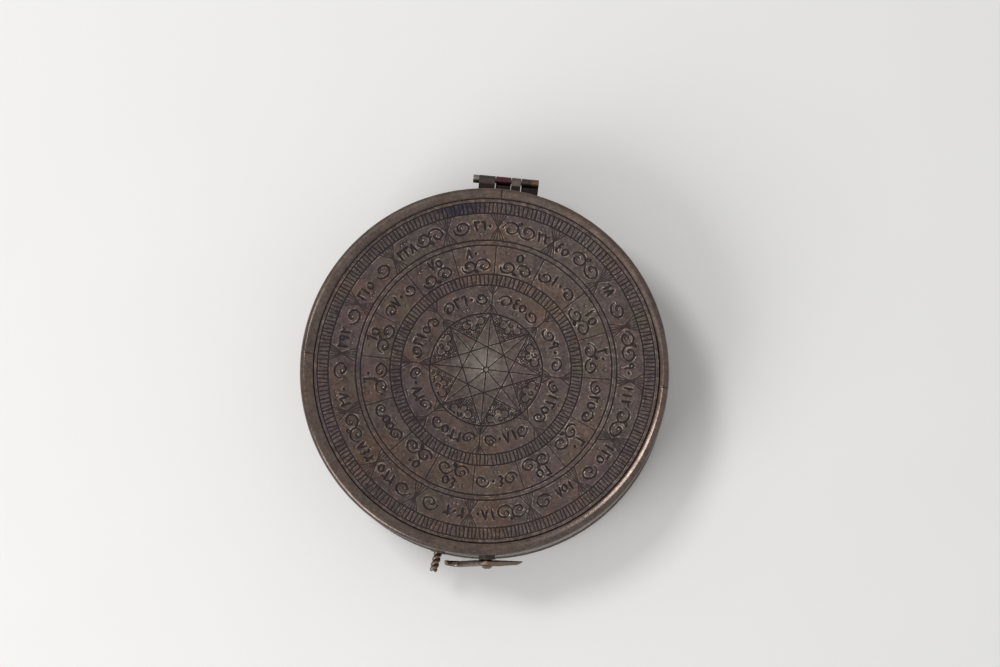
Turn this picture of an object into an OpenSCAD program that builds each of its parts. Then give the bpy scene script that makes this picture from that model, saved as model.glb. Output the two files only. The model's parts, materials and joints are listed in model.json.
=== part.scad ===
// Round brass qibla indicator: a flat hinged box with an engraved lid.
// Inside are a compass, a degree dial with a turning index, and a folding sundial gnomon.
// The origin is at the centre of the underside. The hinge is towards +Y, the catch towards -Y.

/* [Case] */
// Diameter over the foot and rim mouldings
case_d = 75; // [70:1:90]
// Height from the table to the joint between case and lid
case_h = 12; // [11:0.5:15]
// Height of the lid from that joint to the top of its rim
lid_h = 7; // [6.5:0.5:9]
// Thickness of the two outer walls
wall = 1.5; // [1:0.1:2]
// How far the foot and rim mouldings stand out from the walls
bead_out = 0.3; // [0.2:0.05:0.6]
// Height of the foot moulding
foot_h = 2.4; // [1.8:0.1:3]
// Width of the solid foot ring under the wall
foot_w = 3.2; // [2.8:0.1:4]
// Thickness of the base inside the foot
base_t = 1.4; // [1:0.1:1.8]
// Thickness of the inner sleeve that guides the lid
sleeve_t = 1.1; // [0.8:0.1:1.5]
// How far the sleeve stands above the joint
lip_h = 1.2; // [0.8:0.1:2]
// Free play between the sleeve and the lid
lip_gap = 0.2; // [0.15:0.05:0.4]

/* [Lid face] */
// Width of the plain round rim
rim_w = 2.4; // [2:0.1:3]
// How far the rim stands above the engraved face
rim_rise = 0.7; // [0.4:0.1:0.9]
// Thickness of the engraved plate
lid_plate_t = 1.3; // [1:0.1:1.6]
// Height of the ledge that carries the plate
lid_ledge_h = 0.8; // [0.6:0.1:1.2]
// Width of that ledge, measured from the wall
lid_ledge_w = 1.5; // [1:0.1:2]
// Width of an engraved line
line_w = 0.25; // [0.15:0.05:0.4]
// Depth of an engraved line
line_depth = 0.12; // [0.05:0.01:0.2]
// Gap between the two lines at the edge of the face
edge_band_w = 0.8; // [0.4:0.1:1]
// Width of the outer and the inner tick scale
tick_band_w = 2.2; // [1.8:0.1:2.6]
// Width of the outer ring of cells
outer_cell_w = 5.6; // [4:0.1:6]
// Width of the plain band between the two rings of cells
plain_band_w = 1; // [0.6:0.1:1.4]
// Width of the middle ring of cells
middle_cell_w = 6; // [4:0.1:6.5]
// Width of the inner ring of cells
inner_cell_w = 5.8; // [4:0.1:6]
// Points of the star, with a cell of the inner ring at each
star_points = 8; // [6:1:12]

/* [Hinge] */
// Outer radius of the knuckles
knuckle_r = 0.9; // [0.85:0.05:1.2]
// Radius of the hinge pin
hinge_pin_r = 0.5; // [0.4:0.05:0.55]
// Radius of the head on the hinge pin
hinge_head_r = 0.85; // [0.7:0.05:1]
// Length of that head
hinge_head_w = 1.2; // [0.8:0.1:1.6]
// Width of each knuckle, from west to east; they belong to lid and case in turn
knuckle_w = [3.3, 3.1, 1.9, 3.5];
// Gap between two knuckles
knuckle_gap = 0.15; // [0.1:0.05:0.3]
// Room between the leaves and the knuckles, bridged by a web to each knuckle
hinge_out = 1.5; // [0.4:0.1:2]
// East-west place of the hinge's middle
hinge_x = 0.9; // [-2:0.1:2]
// Thickness of the leaves
leaf_t = 0.5; // [0.4:0.05:0.8]
// Height of the leaf on the case and of the one on the lid
leaf_h = 4; // [3.5:0.1:4.2]
// Radius of the leaf rivets
rivet_r = 0.4; // [0.3:0.05:0.6]
// Radius of the heads on the leaf rivets
rivet_head_r = 0.7; // [0.65:0.05:0.9]
// Height of those heads
rivet_head_h = 0.35; // [0.2:0.05:0.5]
// Angle of the leaf rivets to each side of the hinge's middle
rivet_angle = 6; // [5:0.5:7]

/* [Catch] */
// Angle of the hook's pivot, east of south
hook_angle = 6.5; // [2:0.5:10]
// Height of the hook's pivot above the joint
pivot_rise = 3; // [2.7:0.1:3.2]
// Thickness of the hook
hook_t = 1.3; // [1:0.1:1.6]
// Radius of the eye round the pivot
hook_eye_r = 1.9; // [1.7:0.1:2.1]
// Half width of the hook's arm
hook_arm_r = 1.4; // [1:0.1:1.6]
// Outer radius of the jaw
jaw_r = 2.2; // [2.1:0.05:2.3]
// Room between the stud and the jaw
jaw_gap = 0.3; // [0.25:0.05:0.4]
// Length of the finger tail
hook_tail = 7; // [5:0.5:8]
// Half width of the tail at its end
hook_tail_r = 0.45; // [0.3:0.05:0.7]
// Angle that the released hook stands away from the stud
hook_release = 26; // [26:1:28]
// Radius of the hook's pivot rivet
pivot_r = 0.8; // [0.6:0.05:1]
// Radius of that rivet's head
pivot_head_r = 1.2; // [1.1:0.1:1.5]
// Height of that head
pivot_head_h = 0.45; // [0.3:0.05:0.8]
// Radius of the washer behind the hook
hook_washer_r = 1.7; // [1.4:0.1:1.9]
// Thickness of that washer
hook_washer_t = 1; // [0.8:0.1:1.2]
// Angle of the stud, west of south
stud_angle = 9.1; // [8:0.1:11]
// Depth of the stud below the joint
stud_drop = 3; // [2.9:0.1:3.2]
// Radius of the twisted wire stud
stud_r = 0.85; // [0.7:0.05:0.9]
// How far the stud stands out of the wall
stud_out = 4.6; // [4:0.1:5]
// Radius of the washer at the stud's root
stud_washer_r = 1.5; // [1.3:0.1:1.6]
// Thickness of that washer
stud_washer_t = 0.6; // [0.4:0.1:0.8]

/* [Dial] */
// Thickness of the dial plate
dial_t = 1; // [0.8:0.1:1.4]
// Depth of the dial below the joint
dial_drop = 4; // [3.5:0.1:4.5]
// Thickness of the ledge that carries the dial
ledge_t = 1.2; // [0.8:0.1:1.6]
// Width of that ledge
ledge_w = 2.2; // [1.8:0.1:3]
// Free play round the dial
dial_gap = 0.2; // [0.1:0.05:0.4]
// Distance of the dial's screws from its edge
screw_inset = 1.1; // [1:0.1:1.3]
// Radius of the screws
screw_r = 0.5; // [0.3:0.05:0.6]
// Radius of the screw heads
screw_head_r = 0.85; // [0.7:0.05:0.95]
// Height of the screw heads
screw_head_h = 0.4; // [0.3:0.05:0.6]
// Width of the slots in the screw heads
slot_w = 0.25; // [0.2:0.05:0.3]
// Depth of those slots
slot_depth = 0.2; // [0.1:0.05:0.25]
// Number of dial screws
screws = 4; // [3:1:8]
// Distance of the degree scale from the dial's edge
scale_inset = 2.6; // [2.4:0.1:3.4]
// Width of the degree scale
scale_w = 4; // [3:0.1:5]

/* [Index] */
// Height that the collar lifts the index above the dial
collar_h = 1.2; // [1.2:0.1:1.5]
// Radius of the collar
collar_r = 2; // [1.7:0.1:2.2]
// Thickness of the index
index_t = 0.8; // [0.6:0.1:1]
// Radius of its hub
hub_r = 2.6; // [2.2:0.1:2.8]
// Half width of the pointer at the hub
pointer_r = 1.1; // [0.8:0.1:1.3]
// Radius of the disc on the tail
tail_disc_r = 1.8; // [1.2:0.1:2.2]
// Length of the tail
index_tail = 9; // [7:0.5:12]
// Half width of the leaf-shaped tip
tip_r = 2; // [1.4:0.1:2.4]
// Length of that tip
tip_l = 6; // [4:0.5:7]
// Radius of the rivet that the index turns on
index_pin_r = 0.8; // [0.6:0.05:1]
// Radius of its head
index_head_r = 1.8; // [1.4:0.1:2]
// Height of its head
index_head_h = 0.6; // [0.4:0.1:0.8]
// Thickness of its riveted end under the dial
burr_h = 0.7; // [0.5:0.1:0.9]
// Radius of that riveted end
burr_r = 1.4; // [1.2:0.1:1.6]
// Direction of the index, counter-clockwise from east
index_turn = 225; // [200:1:250]

/* [Compass] */
// Inner radius of the bowl
bowl_r = 11; // [9:0.1:11.3]
// Wall and floor of the bowl
bowl_t = 0.7; // [0.5:0.1:1]
// Distance from the index's axis to the compass's axis
compass_y = 15.5; // [15.1:0.1:15.8]
// Width of the dial's edge that covers the bowl
cover_w = 0.9; // [0.7:0.1:1.2]
// Thickness of the glass
glass_t = 0.6; // [0.4:0.05:0.6]
// How far the glass lies on the dial
glass_seat = 0.6; // [0.4:0.1:0.8]
// Width of the ring round the glass
ring_w = 1.3; // [0.9:0.1:1.4]
// Thickness of the lip over the glass
ring_lip_t = 0.35; // [0.25:0.05:0.4]
// Width of that lip
ring_lip_w = 0.6; // [0.4:0.1:0.8]
// Thickness of the compass card
card_t = 0.2; // [0.1:0.05:0.4]
// Radius of the needle's steel pivot
needle_pivot_r = 0.5; // [0.4:0.05:0.6]
// Height of that pivot
needle_pivot_h = 3.6; // [3.4:0.1:4]
// Length of its point
needle_point_h = 1.4; // [1.2:0.1:1.6]
// Length of each arm of the needle
needle_l = 9.3; // [7:0.1:9.6]
// Half width of the needle's blade
blade_r = 1.1; // [0.8:0.1:1.2]
// Radius of the needle's round middle
needle_r = 1.5; // [1.4:0.1:1.8]
// Thickness of the needle
needle_t = 0.3; // [0.2:0.05:0.4]
// Radius of the cap's neck
cap_r = 1; // [0.9:0.05:1.1]
// Height of the cap above the needle
cap_h = 1.1; // [1:0.1:1.3]
// Depth of the hollow in the cap
cap_hollow = 0.9; // [0.7:0.05:1]

/* [Gnomon] */
// Place of the gnomon's foot, north of the index's axis
gnomon_y = 5.5; // [5:0.1:6]
// Length of the gnomon's base
gnomon_l = 12.5; // [11:0.1:13]
// Latitude that the gnomon is made for
latitude = 32; // [25:1:34]
// Thickness of the gnomon
gnomon_t = 0.6; // [0.4:0.05:0.7]
// Radius of its knuckles
gnomon_knuckle_r = 0.5; // [0.45:0.01:0.52]
// Radius of its pin
gnomon_pin_r = 0.25; // [0.2:0.01:0.3]
// Length of each end knuckle
gnomon_end = 2.4; // [2:0.1:3]
// Length of the middle knuckle
gnomon_middle = 6; // [4:0.1:6.5]
// Width of the bracket's foot
gnomon_foot_w = 2; // [1.5:0.1:3]
// Thickness of that foot
gnomon_foot_t = 0.35; // [0.2:0.05:0.4]
// Hours marked to each side of noon
hours = 6; // [3:1:6]

/* [Hidden] */
$fn = 96;

// Clearances
eps = 0.01;              // overlap of two shapes that are joined
past = 1;                // how far a cutting shape reaches past what it cuts
fit = 0.03;              // radial room round a turning pin
seat = 0.02;             // room between two soldered rings
play = 0.05;             // end play of a turning piece

// Radii of the case and the lid
case_r = case_d / 2;
wall_r = case_r - bead_out;
wall_in_r = wall_r - wall;
sleeve_r = wall_in_r - seat;
sleeve_in_r = sleeve_r - sleeve_t;
dial_r = sleeve_in_r - dial_gap;
ledge_r = sleeve_in_r - seat;
foot_bead_r = foot_h / 2;

// Heights, from the table up
total_h = case_h + lid_h;
rim_bead_r = rim_w / 2;
rim_bead_z = total_h - rim_bead_r;
face_z = total_h - rim_rise;
lid_plate_z = face_z - lid_plate_t;
dial_z = case_h - dial_drop;
dial_under_z = dial_z - dial_t;
index_z = dial_z + collar_h;

// Radii on the lid face, from the rim inwards
face_r = case_r - rim_w;
edge_line_r = face_r - edge_band_w;
outer_cell_r = edge_line_r - tick_band_w;
plain_band_r = outer_cell_r - outer_cell_w;
middle_cell_r = plain_band_r - plain_band_w;
inner_tick_r = middle_cell_r - middle_cell_w;
inner_cell_r = inner_tick_r - tick_band_w;
star_r = inner_cell_r - inner_cell_w;
outer_cells = 2 * star_points;

// Hinge
leaf_r = wall_r + leaf_t;
hinge_y = leaf_r + hinge_out + knuckle_r;
hinge_l = sum(knuckle_w) + (len(knuckle_w) - 1) * knuckle_gap;
hinge_x0 = hinge_x - hinge_l / 2;
hinge_mid_angle = asin(hinge_x / wall_r);

// Catch
hook_in = wall_r + hook_washer_t;
hook_out = hook_in + hook_t;
pivot_z = case_h + pivot_rise;
stud_z = case_h - stud_drop;
stud_x = -tan(hook_angle + stud_angle) * (hook_in + hook_out) / 2;
stud_y = stud_z - pivot_z;
notch_r = stud_r + jaw_gap;
tail_dip = 3;            // slope of the released tail below level, in degrees

// Dial
screw_circle_r = dial_r - screw_inset;
scale_out_r = dial_r - scale_inset;
scale_in_r = scale_out_r - scale_w;
pointer_l = scale_in_r + scale_w / 2;

// Compass
bowl_z = base_t + dial_gap;
bowl_floor_z = bowl_z + bowl_t;
window_r = bowl_r - cover_w;
glass_r = window_r + glass_seat;
ring_in_r = glass_r + play;
needle_tip_z = bowl_floor_z + needle_pivot_h;
cap_base_z = needle_tip_z + play - cap_hollow;

// Gnomon
gnomon_z = dial_z + gnomon_knuckle_r;
gnomon_h = gnomon_l * tan(latitude);
gnomon_inner = gnomon_knuckle_r + 2 * play;
gnomon_mid_y = gnomon_y + gnomon_end + play;
gnomon_far_y = gnomon_mid_y + gnomon_middle + play;

// Colours, as the tarnished metal shows them
old_brass = [0.42, 0.37, 0.33];
dark_brass = [0.33, 0.28, 0.24];
warm_brass = [0.52, 0.40, 0.26];
blued_steel = [0.16, 0.19, 0.28];
grey_steel = [0.45, 0.45, 0.46];
pale_card = [0.62, 0.57, 0.47];
pale_glass = [0.75, 0.85, 0.85, 0.35];

// Sum of a list, or of its first n entries
function sum(list, n = undef) =
    let (count = is_undef(n) ? len(list) : n)
    count == 0 ? 0 : list[count - 1] + sum(list, count - 1);

// Where knuckle i starts along the hinge
function knuckle_x(i) = hinge_x0 + sum(knuckle_w, i) + i * knuckle_gap;

// Angle of the sundial's line for an hour before or after noon
function hour_angle(hour) =
    hour == 6 ? 90 : atan(sin(latitude) * tan(15 * hour));

// Length of a ray from a point north of the dial's centre out to a circle round that centre
function ray_to_circle(angle, y, radius) =
    let (along = y * cos(angle))
    -along + sqrt(along * along + radius * radius - y * y);

// A flat ring between two radii and two heights
module ring(r_out, r_in, z_low, z_high) {
    translate([0, 0, z_low])
        difference() {
            cylinder(r = r_out, h = z_high - z_low);
            translate([0, 0, -past]) cylinder(r = r_in, h = z_high - z_low + 2 * past);
        }
}

// The outline round two circles, joined by straight sides that touch them both
module link2d(from, r_from, to, r_to) {
    span = norm(to - from);
    turn = atan2(to[1] - from[1], to[0] - from[0]);
    lean = acos((r_from - r_to) / span);
    side = [cos(lean), sin(lean)];
    translate(from)
        rotate(turn)
            union() {
                circle(r = r_from);
                translate([span, 0]) circle(r = r_to);
                polygon([
                    r_from * side,
                    r_from * [side[0], -side[1]],
                    [span, 0] + r_to * [side[0], -side[1]],
                    [span, 0] + r_to * side
                ]);
            }
}

// Puts local Z on the outward direction at an angle east of south, with local Y up
module outward(angle, z) {
    rotate([0, 0, angle])
        translate([0, 0, z])
            rotate([90, 0, 0])
                children();
}

// Everything inside the outside of the walls
module wall_space() {
    translate([0, 0, -past]) cylinder(r = wall_r, h = total_h + 2 * past);
}

// A straight engraved line on a face, from one radius to another at an angle
module radial_line(angle, r_from, r_to, z) {
    rotate([0, 0, angle])
        translate([r_from, -line_w / 2, z - line_depth])
            cube([r_to - r_from, line_w, past]);
}

// A round engraved line on a face
module ring_line(radius, z) {
    rotate_extrude()
        translate([radius - line_w / 2, z - line_depth])
            square([line_w, past]);
}

// Turned base with its round foot moulding
module case_base() {
    color(old_brass)
        rotate_extrude()
            union() {
                square([case_r - foot_bead_r, base_t]);
                translate([case_r - foot_bead_r - foot_w, 0]) square([foot_w, foot_h]);
                translate([case_r - foot_bead_r, foot_bead_r]) circle(r = foot_bead_r);
            }
}

// Plain outer wall of the case, bored for the stud and the leaf rivets
module case_wall() {
    color(old_brass)
        difference() {
            ring(wall_r, wall_in_r, foot_h, case_h);
            stud_hole();
            leaf_rivet_holes(-leaf_h / 2);
        }
}

// Inner sleeve: its lip guides the closing lid
module case_sleeve() {
    color(dark_brass)
        difference() {
            union() {
                ring(sleeve_r, sleeve_in_r, foot_h, case_h);
                ring(wall_in_r - lip_gap, sleeve_in_r, case_h - eps, case_h + lip_h);
            }
            stud_hole();
        }
}

// Hole for the stud through the wall and the sleeve
module stud_hole() {
    outward(-stud_angle, stud_z)
        translate([0, 0, sleeve_in_r - past])
            cylinder(r = stud_r + fit, h = wall_r - sleeve_in_r + 2 * past);
}

// Holes for the two rivets of a leaf, at a height above the joint
module leaf_rivet_holes(rise) {
    for (side = [-1, 1])
        outward(180 - hinge_mid_angle + side * rivet_angle, case_h + rise)
            translate([0, 0, wall_in_r - past])
                cylinder(r = rivet_r + seat, h = leaf_r - wall_in_r + 2 * past);
}

// Ring under the edge of the dial, bored for the dial screws
module dial_ledge() {
    color(dark_brass)
        difference() {
            ring(ledge_r, ledge_r - ledge_w, dial_under_z - ledge_t, dial_under_z);
            screw_holes();
        }
}

// Holes of the dial screws
module screw_holes() {
    for (i = [0 : screws - 1])
        rotate([0, 0, (i + 0.5) * 360 / screws])
            translate([screw_circle_r, 0, dial_under_z - ledge_t - past])
                cylinder(r = screw_r + seat, h = ledge_t + dial_t + 2 * past);
}

// Dial plate: degree scale round its edge, hour lines round the gnomon, window of the compass
module dial_plate() {
    color(warm_brass)
        difference() {
            translate([0, 0, dial_under_z]) cylinder(r = dial_r, h = dial_t);
            screw_holes();
            translate([0, -compass_y, 0]) cylinder(r = window_r, h = total_h);
            cylinder(r = index_pin_r + seat, h = total_h);
            for (radius = [scale_in_r, scale_in_r + scale_w / 2, scale_out_r])
                ring_line(radius, dial_z);
            hour_lines();
        }
}

// Hour lines from the gnomon's foot out to the degree scale
module hour_lines() {
    for (hour = [-hours : hours])
        let (
            angle = sign(hour) * hour_angle(abs(hour)),
            reach = ray_to_circle(angle, gnomon_y, scale_in_r)
        )
        translate([0, gnomon_y, 0])
            radial_line(90 - angle, gnomon_end, reach, dial_z);
}

// Slotted screws that hold the dial
module dial_screws() {
    color(warm_brass)
        for (i = [0 : screws - 1])
            rotate([0, 0, (i + 0.5) * 360 / screws])
                translate([screw_circle_r, 0, 0])
                    difference() {
                        union() {
                            translate([0, 0, dial_under_z - ledge_t])
                                cylinder(r = screw_r, h = ledge_t + dial_t + eps);
                            translate([0, 0, dial_z]) cylinder(r = screw_head_r, h = screw_head_h);
                        }
                        translate([-slot_w / 2, -screw_circle_r, dial_z + screw_head_h - slot_depth])
                            cube([slot_w, 2 * screw_circle_r, past]);
                    }
}

// Cup of the compass, soldered under the dial
module compass_bowl() {
    color(dark_brass)
        translate([0, -compass_y, 0])
            difference() {
                translate([0, 0, bowl_z]) cylinder(r = bowl_r + bowl_t, h = dial_under_z - bowl_z);
                translate([0, 0, bowl_floor_z]) cylinder(r = bowl_r, h = total_h);
            }
}

// Card on the floor of the compass, with a cross of lines under the needle
module compass_card() {
    color(pale_card)
        translate([0, -compass_y, 0])
            difference() {
                translate([0, 0, bowl_floor_z]) cylinder(r = bowl_r - seat, h = card_t);
                cylinder(r = needle_pivot_r + seat, h = total_h);
            }
}

// Steel point that the needle swings on
module needle_pivot() {
    color(grey_steel)
        translate([0, -compass_y, 0])
            rotate_extrude()
                polygon([
                    [0, bowl_floor_z],
                    [needle_pivot_r, bowl_floor_z],
                    [needle_pivot_r, needle_tip_z - needle_point_h],
                    [0, needle_tip_z]
                ]);
}

// Magnetic needle: a flat lozenge with a hole for its cap
module needle() {
    color(blued_steel)
        translate([0, -compass_y, cap_base_z])
            linear_extrude(needle_t)
                difference() {
                    union() {
                        polygon([[-blade_r, 0], [0, -needle_l], [blade_r, 0], [0, needle_l]]);
                        circle(r = needle_r);
                    }
                    circle(r = cap_r + seat);
                }
}

// Brass cap in the needle's middle, hollow below for the steel point
module needle_cap() {
    color(warm_brass)
        translate([0, -compass_y, cap_base_z])
            difference() {
                rotate_extrude()
                    polygon([
                        [0, 0],
                        [cap_r, 0],
                        [cap_r, needle_t],
                        [needle_r, needle_t],
                        [needle_r, needle_t + 0.2 * cap_h],
                        [needle_r / 2, needle_t + cap_h],
                        [0, needle_t + cap_h]
                    ]);
                translate([0, 0, -eps])
                    cylinder(r1 = needle_pivot_r + 2 * play, r2 = play, h = cap_hollow + eps);
            }
}

// Glass over the compass, resting on the dial
module compass_glass() {
    color(pale_glass)
        translate([0, -compass_y, dial_z])
            cylinder(r = glass_r, h = glass_t);
}

// Ring that holds the glass down
module glass_ring() {
    color(warm_brass)
        translate([0, -compass_y, 0])
            union() {
                ring(ring_in_r + ring_w, ring_in_r, dial_z, dial_z + glass_t + eps);
                ring(
                    ring_in_r + ring_w, ring_in_r - ring_lip_w,
                    dial_z + glass_t, dial_z + glass_t + ring_lip_t
                );
            }
}

// Collar that lifts the index over the glass and the folded gnomon
module index_collar() {
    color(warm_brass)
        ring(collar_r, index_pin_r + fit, dial_z, index_z);
}

// Index: hub, tapering pointer with a leaf-shaped tip, and a short tail with a disc
module index_arm() {
    tip_start = [pointer_l - tip_l, 0];
    color(warm_brass)
        rotate([0, 0, index_turn])
            translate([0, 0, index_z])
                linear_extrude(index_t)
                    difference() {
                        union() {
                            circle(r = hub_r);
                            link2d([0, 0], pointer_r, tip_start, pointer_r / 2);
                            polygon([
                                tip_start - [tip_r, 0],
                                tip_start - [0, tip_r],
                                [pointer_l, 0],
                                tip_start + [0, tip_r]
                            ]);
                            link2d([0, 0], 0.9 * pointer_r, [-index_tail, 0], pointer_r / 2);
                            translate([-index_tail, 0]) circle(r = tail_disc_r);
                        }
                        circle(r = index_pin_r + fit);
                    }
}

// Rivet through dial, collar and index, closed over below the dial
module index_rivet() {
    head_z = index_z + index_t + play;
    color(dark_brass)
        rotate_extrude()
            polygon([
                [0, dial_under_z - burr_h],
                [burr_r, dial_under_z - burr_h],
                [burr_r, dial_under_z],
                [index_pin_r, dial_under_z],
                [index_pin_r, head_z],
                [index_head_r, head_z],
                [index_head_r, head_z + index_head_h / 2],
                [index_head_r / 2, head_z + index_head_h],
                [0, head_z + index_head_h]
            ]);
}

// Bracket of the gnomon: two end knuckles, each on a flat foot to the west
module gnomon_bracket() {
    color(warm_brass)
        difference() {
            union() {
                for (y = [gnomon_y, gnomon_far_y])
                    translate([0, y, 0]) {
                        gnomon_knuckle(gnomon_end);
                        translate([-gnomon_foot_w, 0, dial_z])
                            cube([gnomon_foot_w, gnomon_end, gnomon_foot_t]);
                    }
                translate([-gnomon_foot_w, gnomon_y, dial_z])
                    cube([
                        gnomon_foot_w - gnomon_inner,
                        gnomon_far_y + gnomon_end - gnomon_y,
                        gnomon_foot_t
                    ]);
            }
            gnomon_bore();
        }
}

// One knuckle of the gnomon's hinge, along Y
module gnomon_knuckle(length) {
    translate([0, length, gnomon_z])
        rotate([90, 0, 0])
            cylinder(r = gnomon_knuckle_r, h = length);
}

// Bore along the gnomon's hinge
module gnomon_bore() {
    translate([0, gnomon_y - past, gnomon_z])
        rotate([-90, 0, 0])
            cylinder(r = gnomon_pin_r + fit, h = gnomon_far_y + gnomon_end - gnomon_y + 2 * past);
}

// Pin of the gnomon's hinge
module gnomon_pin() {
    color(grey_steel)
        translate([0, gnomon_y, gnomon_z])
            rotate([-90, 0, 0])
                cylinder(r = gnomon_pin_r, h = gnomon_far_y + gnomon_end - gnomon_y);
}

// Gnomon, folded flat to the east: a right triangle whose long side is the style
module gnomon() {
    low_x = gnomon_inner;
    color(warm_brass)
        difference() {
            union() {
                translate([0, 0, gnomon_z - gnomon_t / 2])
                    linear_extrude(gnomon_t)
                        polygon([
                            [low_x, gnomon_y + low_x / tan(latitude)],
                            [gnomon_h, gnomon_y + gnomon_l],
                            [low_x, gnomon_y + gnomon_l]
                        ]);
                translate([0, gnomon_mid_y, gnomon_z - gnomon_t / 2])
                    cube([low_x + eps, gnomon_middle, gnomon_t]);
                translate([0, gnomon_mid_y, 0]) gnomon_knuckle(gnomon_middle);
            }
            gnomon_bore();
        }
}

// Lid ring: skirt, ledge under the plate, and the round rim
module lid_rim() {
    color(old_brass)
        difference() {
            rotate_extrude()
                union() {
                    translate([wall_in_r, case_h]) square([wall, rim_bead_z - case_h]);
                    translate([wall_in_r - lid_ledge_w, lid_plate_z - lid_ledge_h])
                        square([lid_ledge_w + wall, lid_ledge_h]);
                    translate([face_r, lid_plate_z])
                        square([wall_r - face_r, rim_bead_z - lid_plate_z]);
                    translate([case_r - rim_bead_r, rim_bead_z]) circle(r = rim_bead_r);
                }
            leaf_rivet_holes(leaf_h / 2);
            outward(hook_angle, pivot_z)
                translate([0, 0, wall_in_r - past])
                    cylinder(r = pivot_r + fit, h = wall + 2 * past);
        }
}

// Engraved plate of the lid: rings, star, rays and cell divisions
module lid_plate() {
    step = 360 / star_points;
    color(old_brass)
        difference() {
            translate([0, 0, lid_plate_z]) cylinder(r = face_r - seat, h = lid_plate_t);
            for (radius = [edge_line_r, outer_cell_r, plain_band_r, middle_cell_r,
                           inner_tick_r, inner_cell_r, star_r])
                ring_line(radius, face_z);
            star_lines();
            for (i = [0 : star_points - 1])
                radial_line(90 + i * step, star_r, inner_cell_r, face_z);
            for (i = [0 : outer_cells - 1]) {
                radial_line(90 + i * step / 2, inner_tick_r, middle_cell_r, face_z);
                radial_line(90 + i * step / 2, plain_band_r, outer_cell_r, face_z);
            }
        }
}

// Star drawn with chords that join every third point, and a ray to each point
module star_lines() {
    step = 360 / star_points;
    chord = 3 * step / 2;
    for (i = [0 : star_points - 1]) {
        radial_line(90 + i * step, star_r * cos(chord), star_r, face_z);
        rotate([0, 0, 90 + i * step])
            translate([star_r * cos(chord), 0, face_z - line_depth])
                translate([-line_w / 2, -star_r * sin(chord), 0])
                    cube([line_w, 2 * star_r * sin(chord), past]);
    }
}

// The knuckles from a first one on, every second, with a web to the leaf above or below
module knuckles(first, up) {
    for (i = [first : 2 : len(knuckle_w) - 1])
        translate([knuckle_x(i), hinge_y, case_h]) {
            rotate([0, 90, 0]) cylinder(r = knuckle_r, h = knuckle_w[i]);
            translate([0, -hinge_y + leaf_r / 2, up ? 0 : -knuckle_r])
                cube([knuckle_w[i], hinge_y - leaf_r / 2, knuckle_r]);
        }
}

// A leaf wrapped on the wall, on one side of the joint, with its knuckles
module hinge_leaf(first, up) {
    difference() {
        union() {
            intersection() {
                translate([0, 0, up ? case_h : case_h - leaf_h]) cylinder(r = leaf_r, h = leaf_h);
                translate([hinge_x0, 0, 0]) cube([hinge_l, case_r * 2, total_h]);
            }
            knuckles(first, up);
        }
        wall_space();
        translate([hinge_x0 - past, hinge_y, case_h])
            rotate([0, 90, 0])
                cylinder(r = hinge_pin_r + fit, h = hinge_l + 2 * past);
        leaf_rivet_holes(up ? leaf_h / 2 : -leaf_h / 2);
    }
}

// Hinge leaf on the case
module hinge_leaf_case() {
    color(dark_brass) hinge_leaf(1, false);
}

// Hinge leaf on the lid
module hinge_leaf_lid() {
    color(dark_brass) hinge_leaf(0, true);
}

// Hinge pin with a head at its west end
module hinge_pin() {
    color(warm_brass)
        translate([hinge_x0 - play, hinge_y, case_h])
            rotate([0, 90, 0])
                union() {
                    cylinder(r = hinge_pin_r, h = hinge_l + 2 * play);
                    translate([0, 0, -hinge_head_w]) cylinder(r = hinge_head_r, h = hinge_head_w);
                }
}

// Two radial rivets of a leaf, at a height above the joint, flush inside the wall
module leaf_rivets(rise) {
    for (side = [-1, 1])
        outward(180 - hinge_mid_angle + side * rivet_angle, case_h + rise)
            union() {
                translate([0, 0, wall_in_r + seat])
                    cylinder(r = rivet_r, h = leaf_r - wall_in_r);
                translate([0, 0, leaf_r])
                    cylinder(r1 = rivet_head_r, r2 = rivet_head_r / 2, h = rivet_head_h);
            }
}

// Rivets of the leaf on the case
module hinge_rivets_case() {
    color(warm_brass) leaf_rivets(-leaf_h / 2);
}

// Rivets of the leaf on the lid
module hinge_rivets_lid() {
    color(warm_brass) leaf_rivets(leaf_h / 2);
}

// Outline of the hook as it grips the stud, with its pivot at the origin
module hook2d() {
    stud = [stud_x, stud_y];
    tail_turn = -hook_release - tail_dip;
    way_out = atan2(stud_y, stud_x) - 90;
    difference() {
        union() {
            circle(r = hook_eye_r);
            link2d([0, 0], hook_arm_r + eps, stud, hook_arm_r);
            translate(stud) circle(r = jaw_r);
            link2d([0, 0], hook_arm_r, hook_tail * [cos(tail_turn), sin(tail_turn)], hook_tail_r);
        }
        translate(stud) circle(r = notch_r);
        translate(stud)
            rotate(way_out)
                translate([0, -notch_r]) square([2 * jaw_r, 2 * notch_r]);
        circle(r = pivot_r + fit);
    }
}

// Swinging hook on the lid, standing released just east of the stud
module catch_hook() {
    color(dark_brass)
        outward(hook_angle, pivot_z)
            translate([0, 0, hook_in])
                rotate([0, 0, hook_release])
                    linear_extrude(hook_t)
                        hook2d();
}

// Rivet that the hook turns on
module hook_rivet() {
    color(warm_brass)
        outward(hook_angle, pivot_z)
            union() {
                translate([0, 0, wall_in_r + seat])
                    cylinder(r = pivot_r, h = hook_out + play - wall_in_r);
                translate([0, 0, hook_out + play])
                    cylinder(r1 = pivot_head_r, r2 = pivot_head_r / 2, h = pivot_head_h);
            }
}

// Washer between the lid and the hook
module hook_washer() {
    color(warm_brass)
        outward(hook_angle, pivot_z)
            ring(hook_washer_r, pivot_r + fit, wall_r, hook_in - play);
}

// Stud of twisted wire that the hook grips
module catch_stud() {
    color(dark_brass)
        outward(-stud_angle, stud_z)
            translate([0, 0, sleeve_in_r])
                cylinder(r = stud_r, h = wall_r + stud_out - sleeve_in_r);
}

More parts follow.
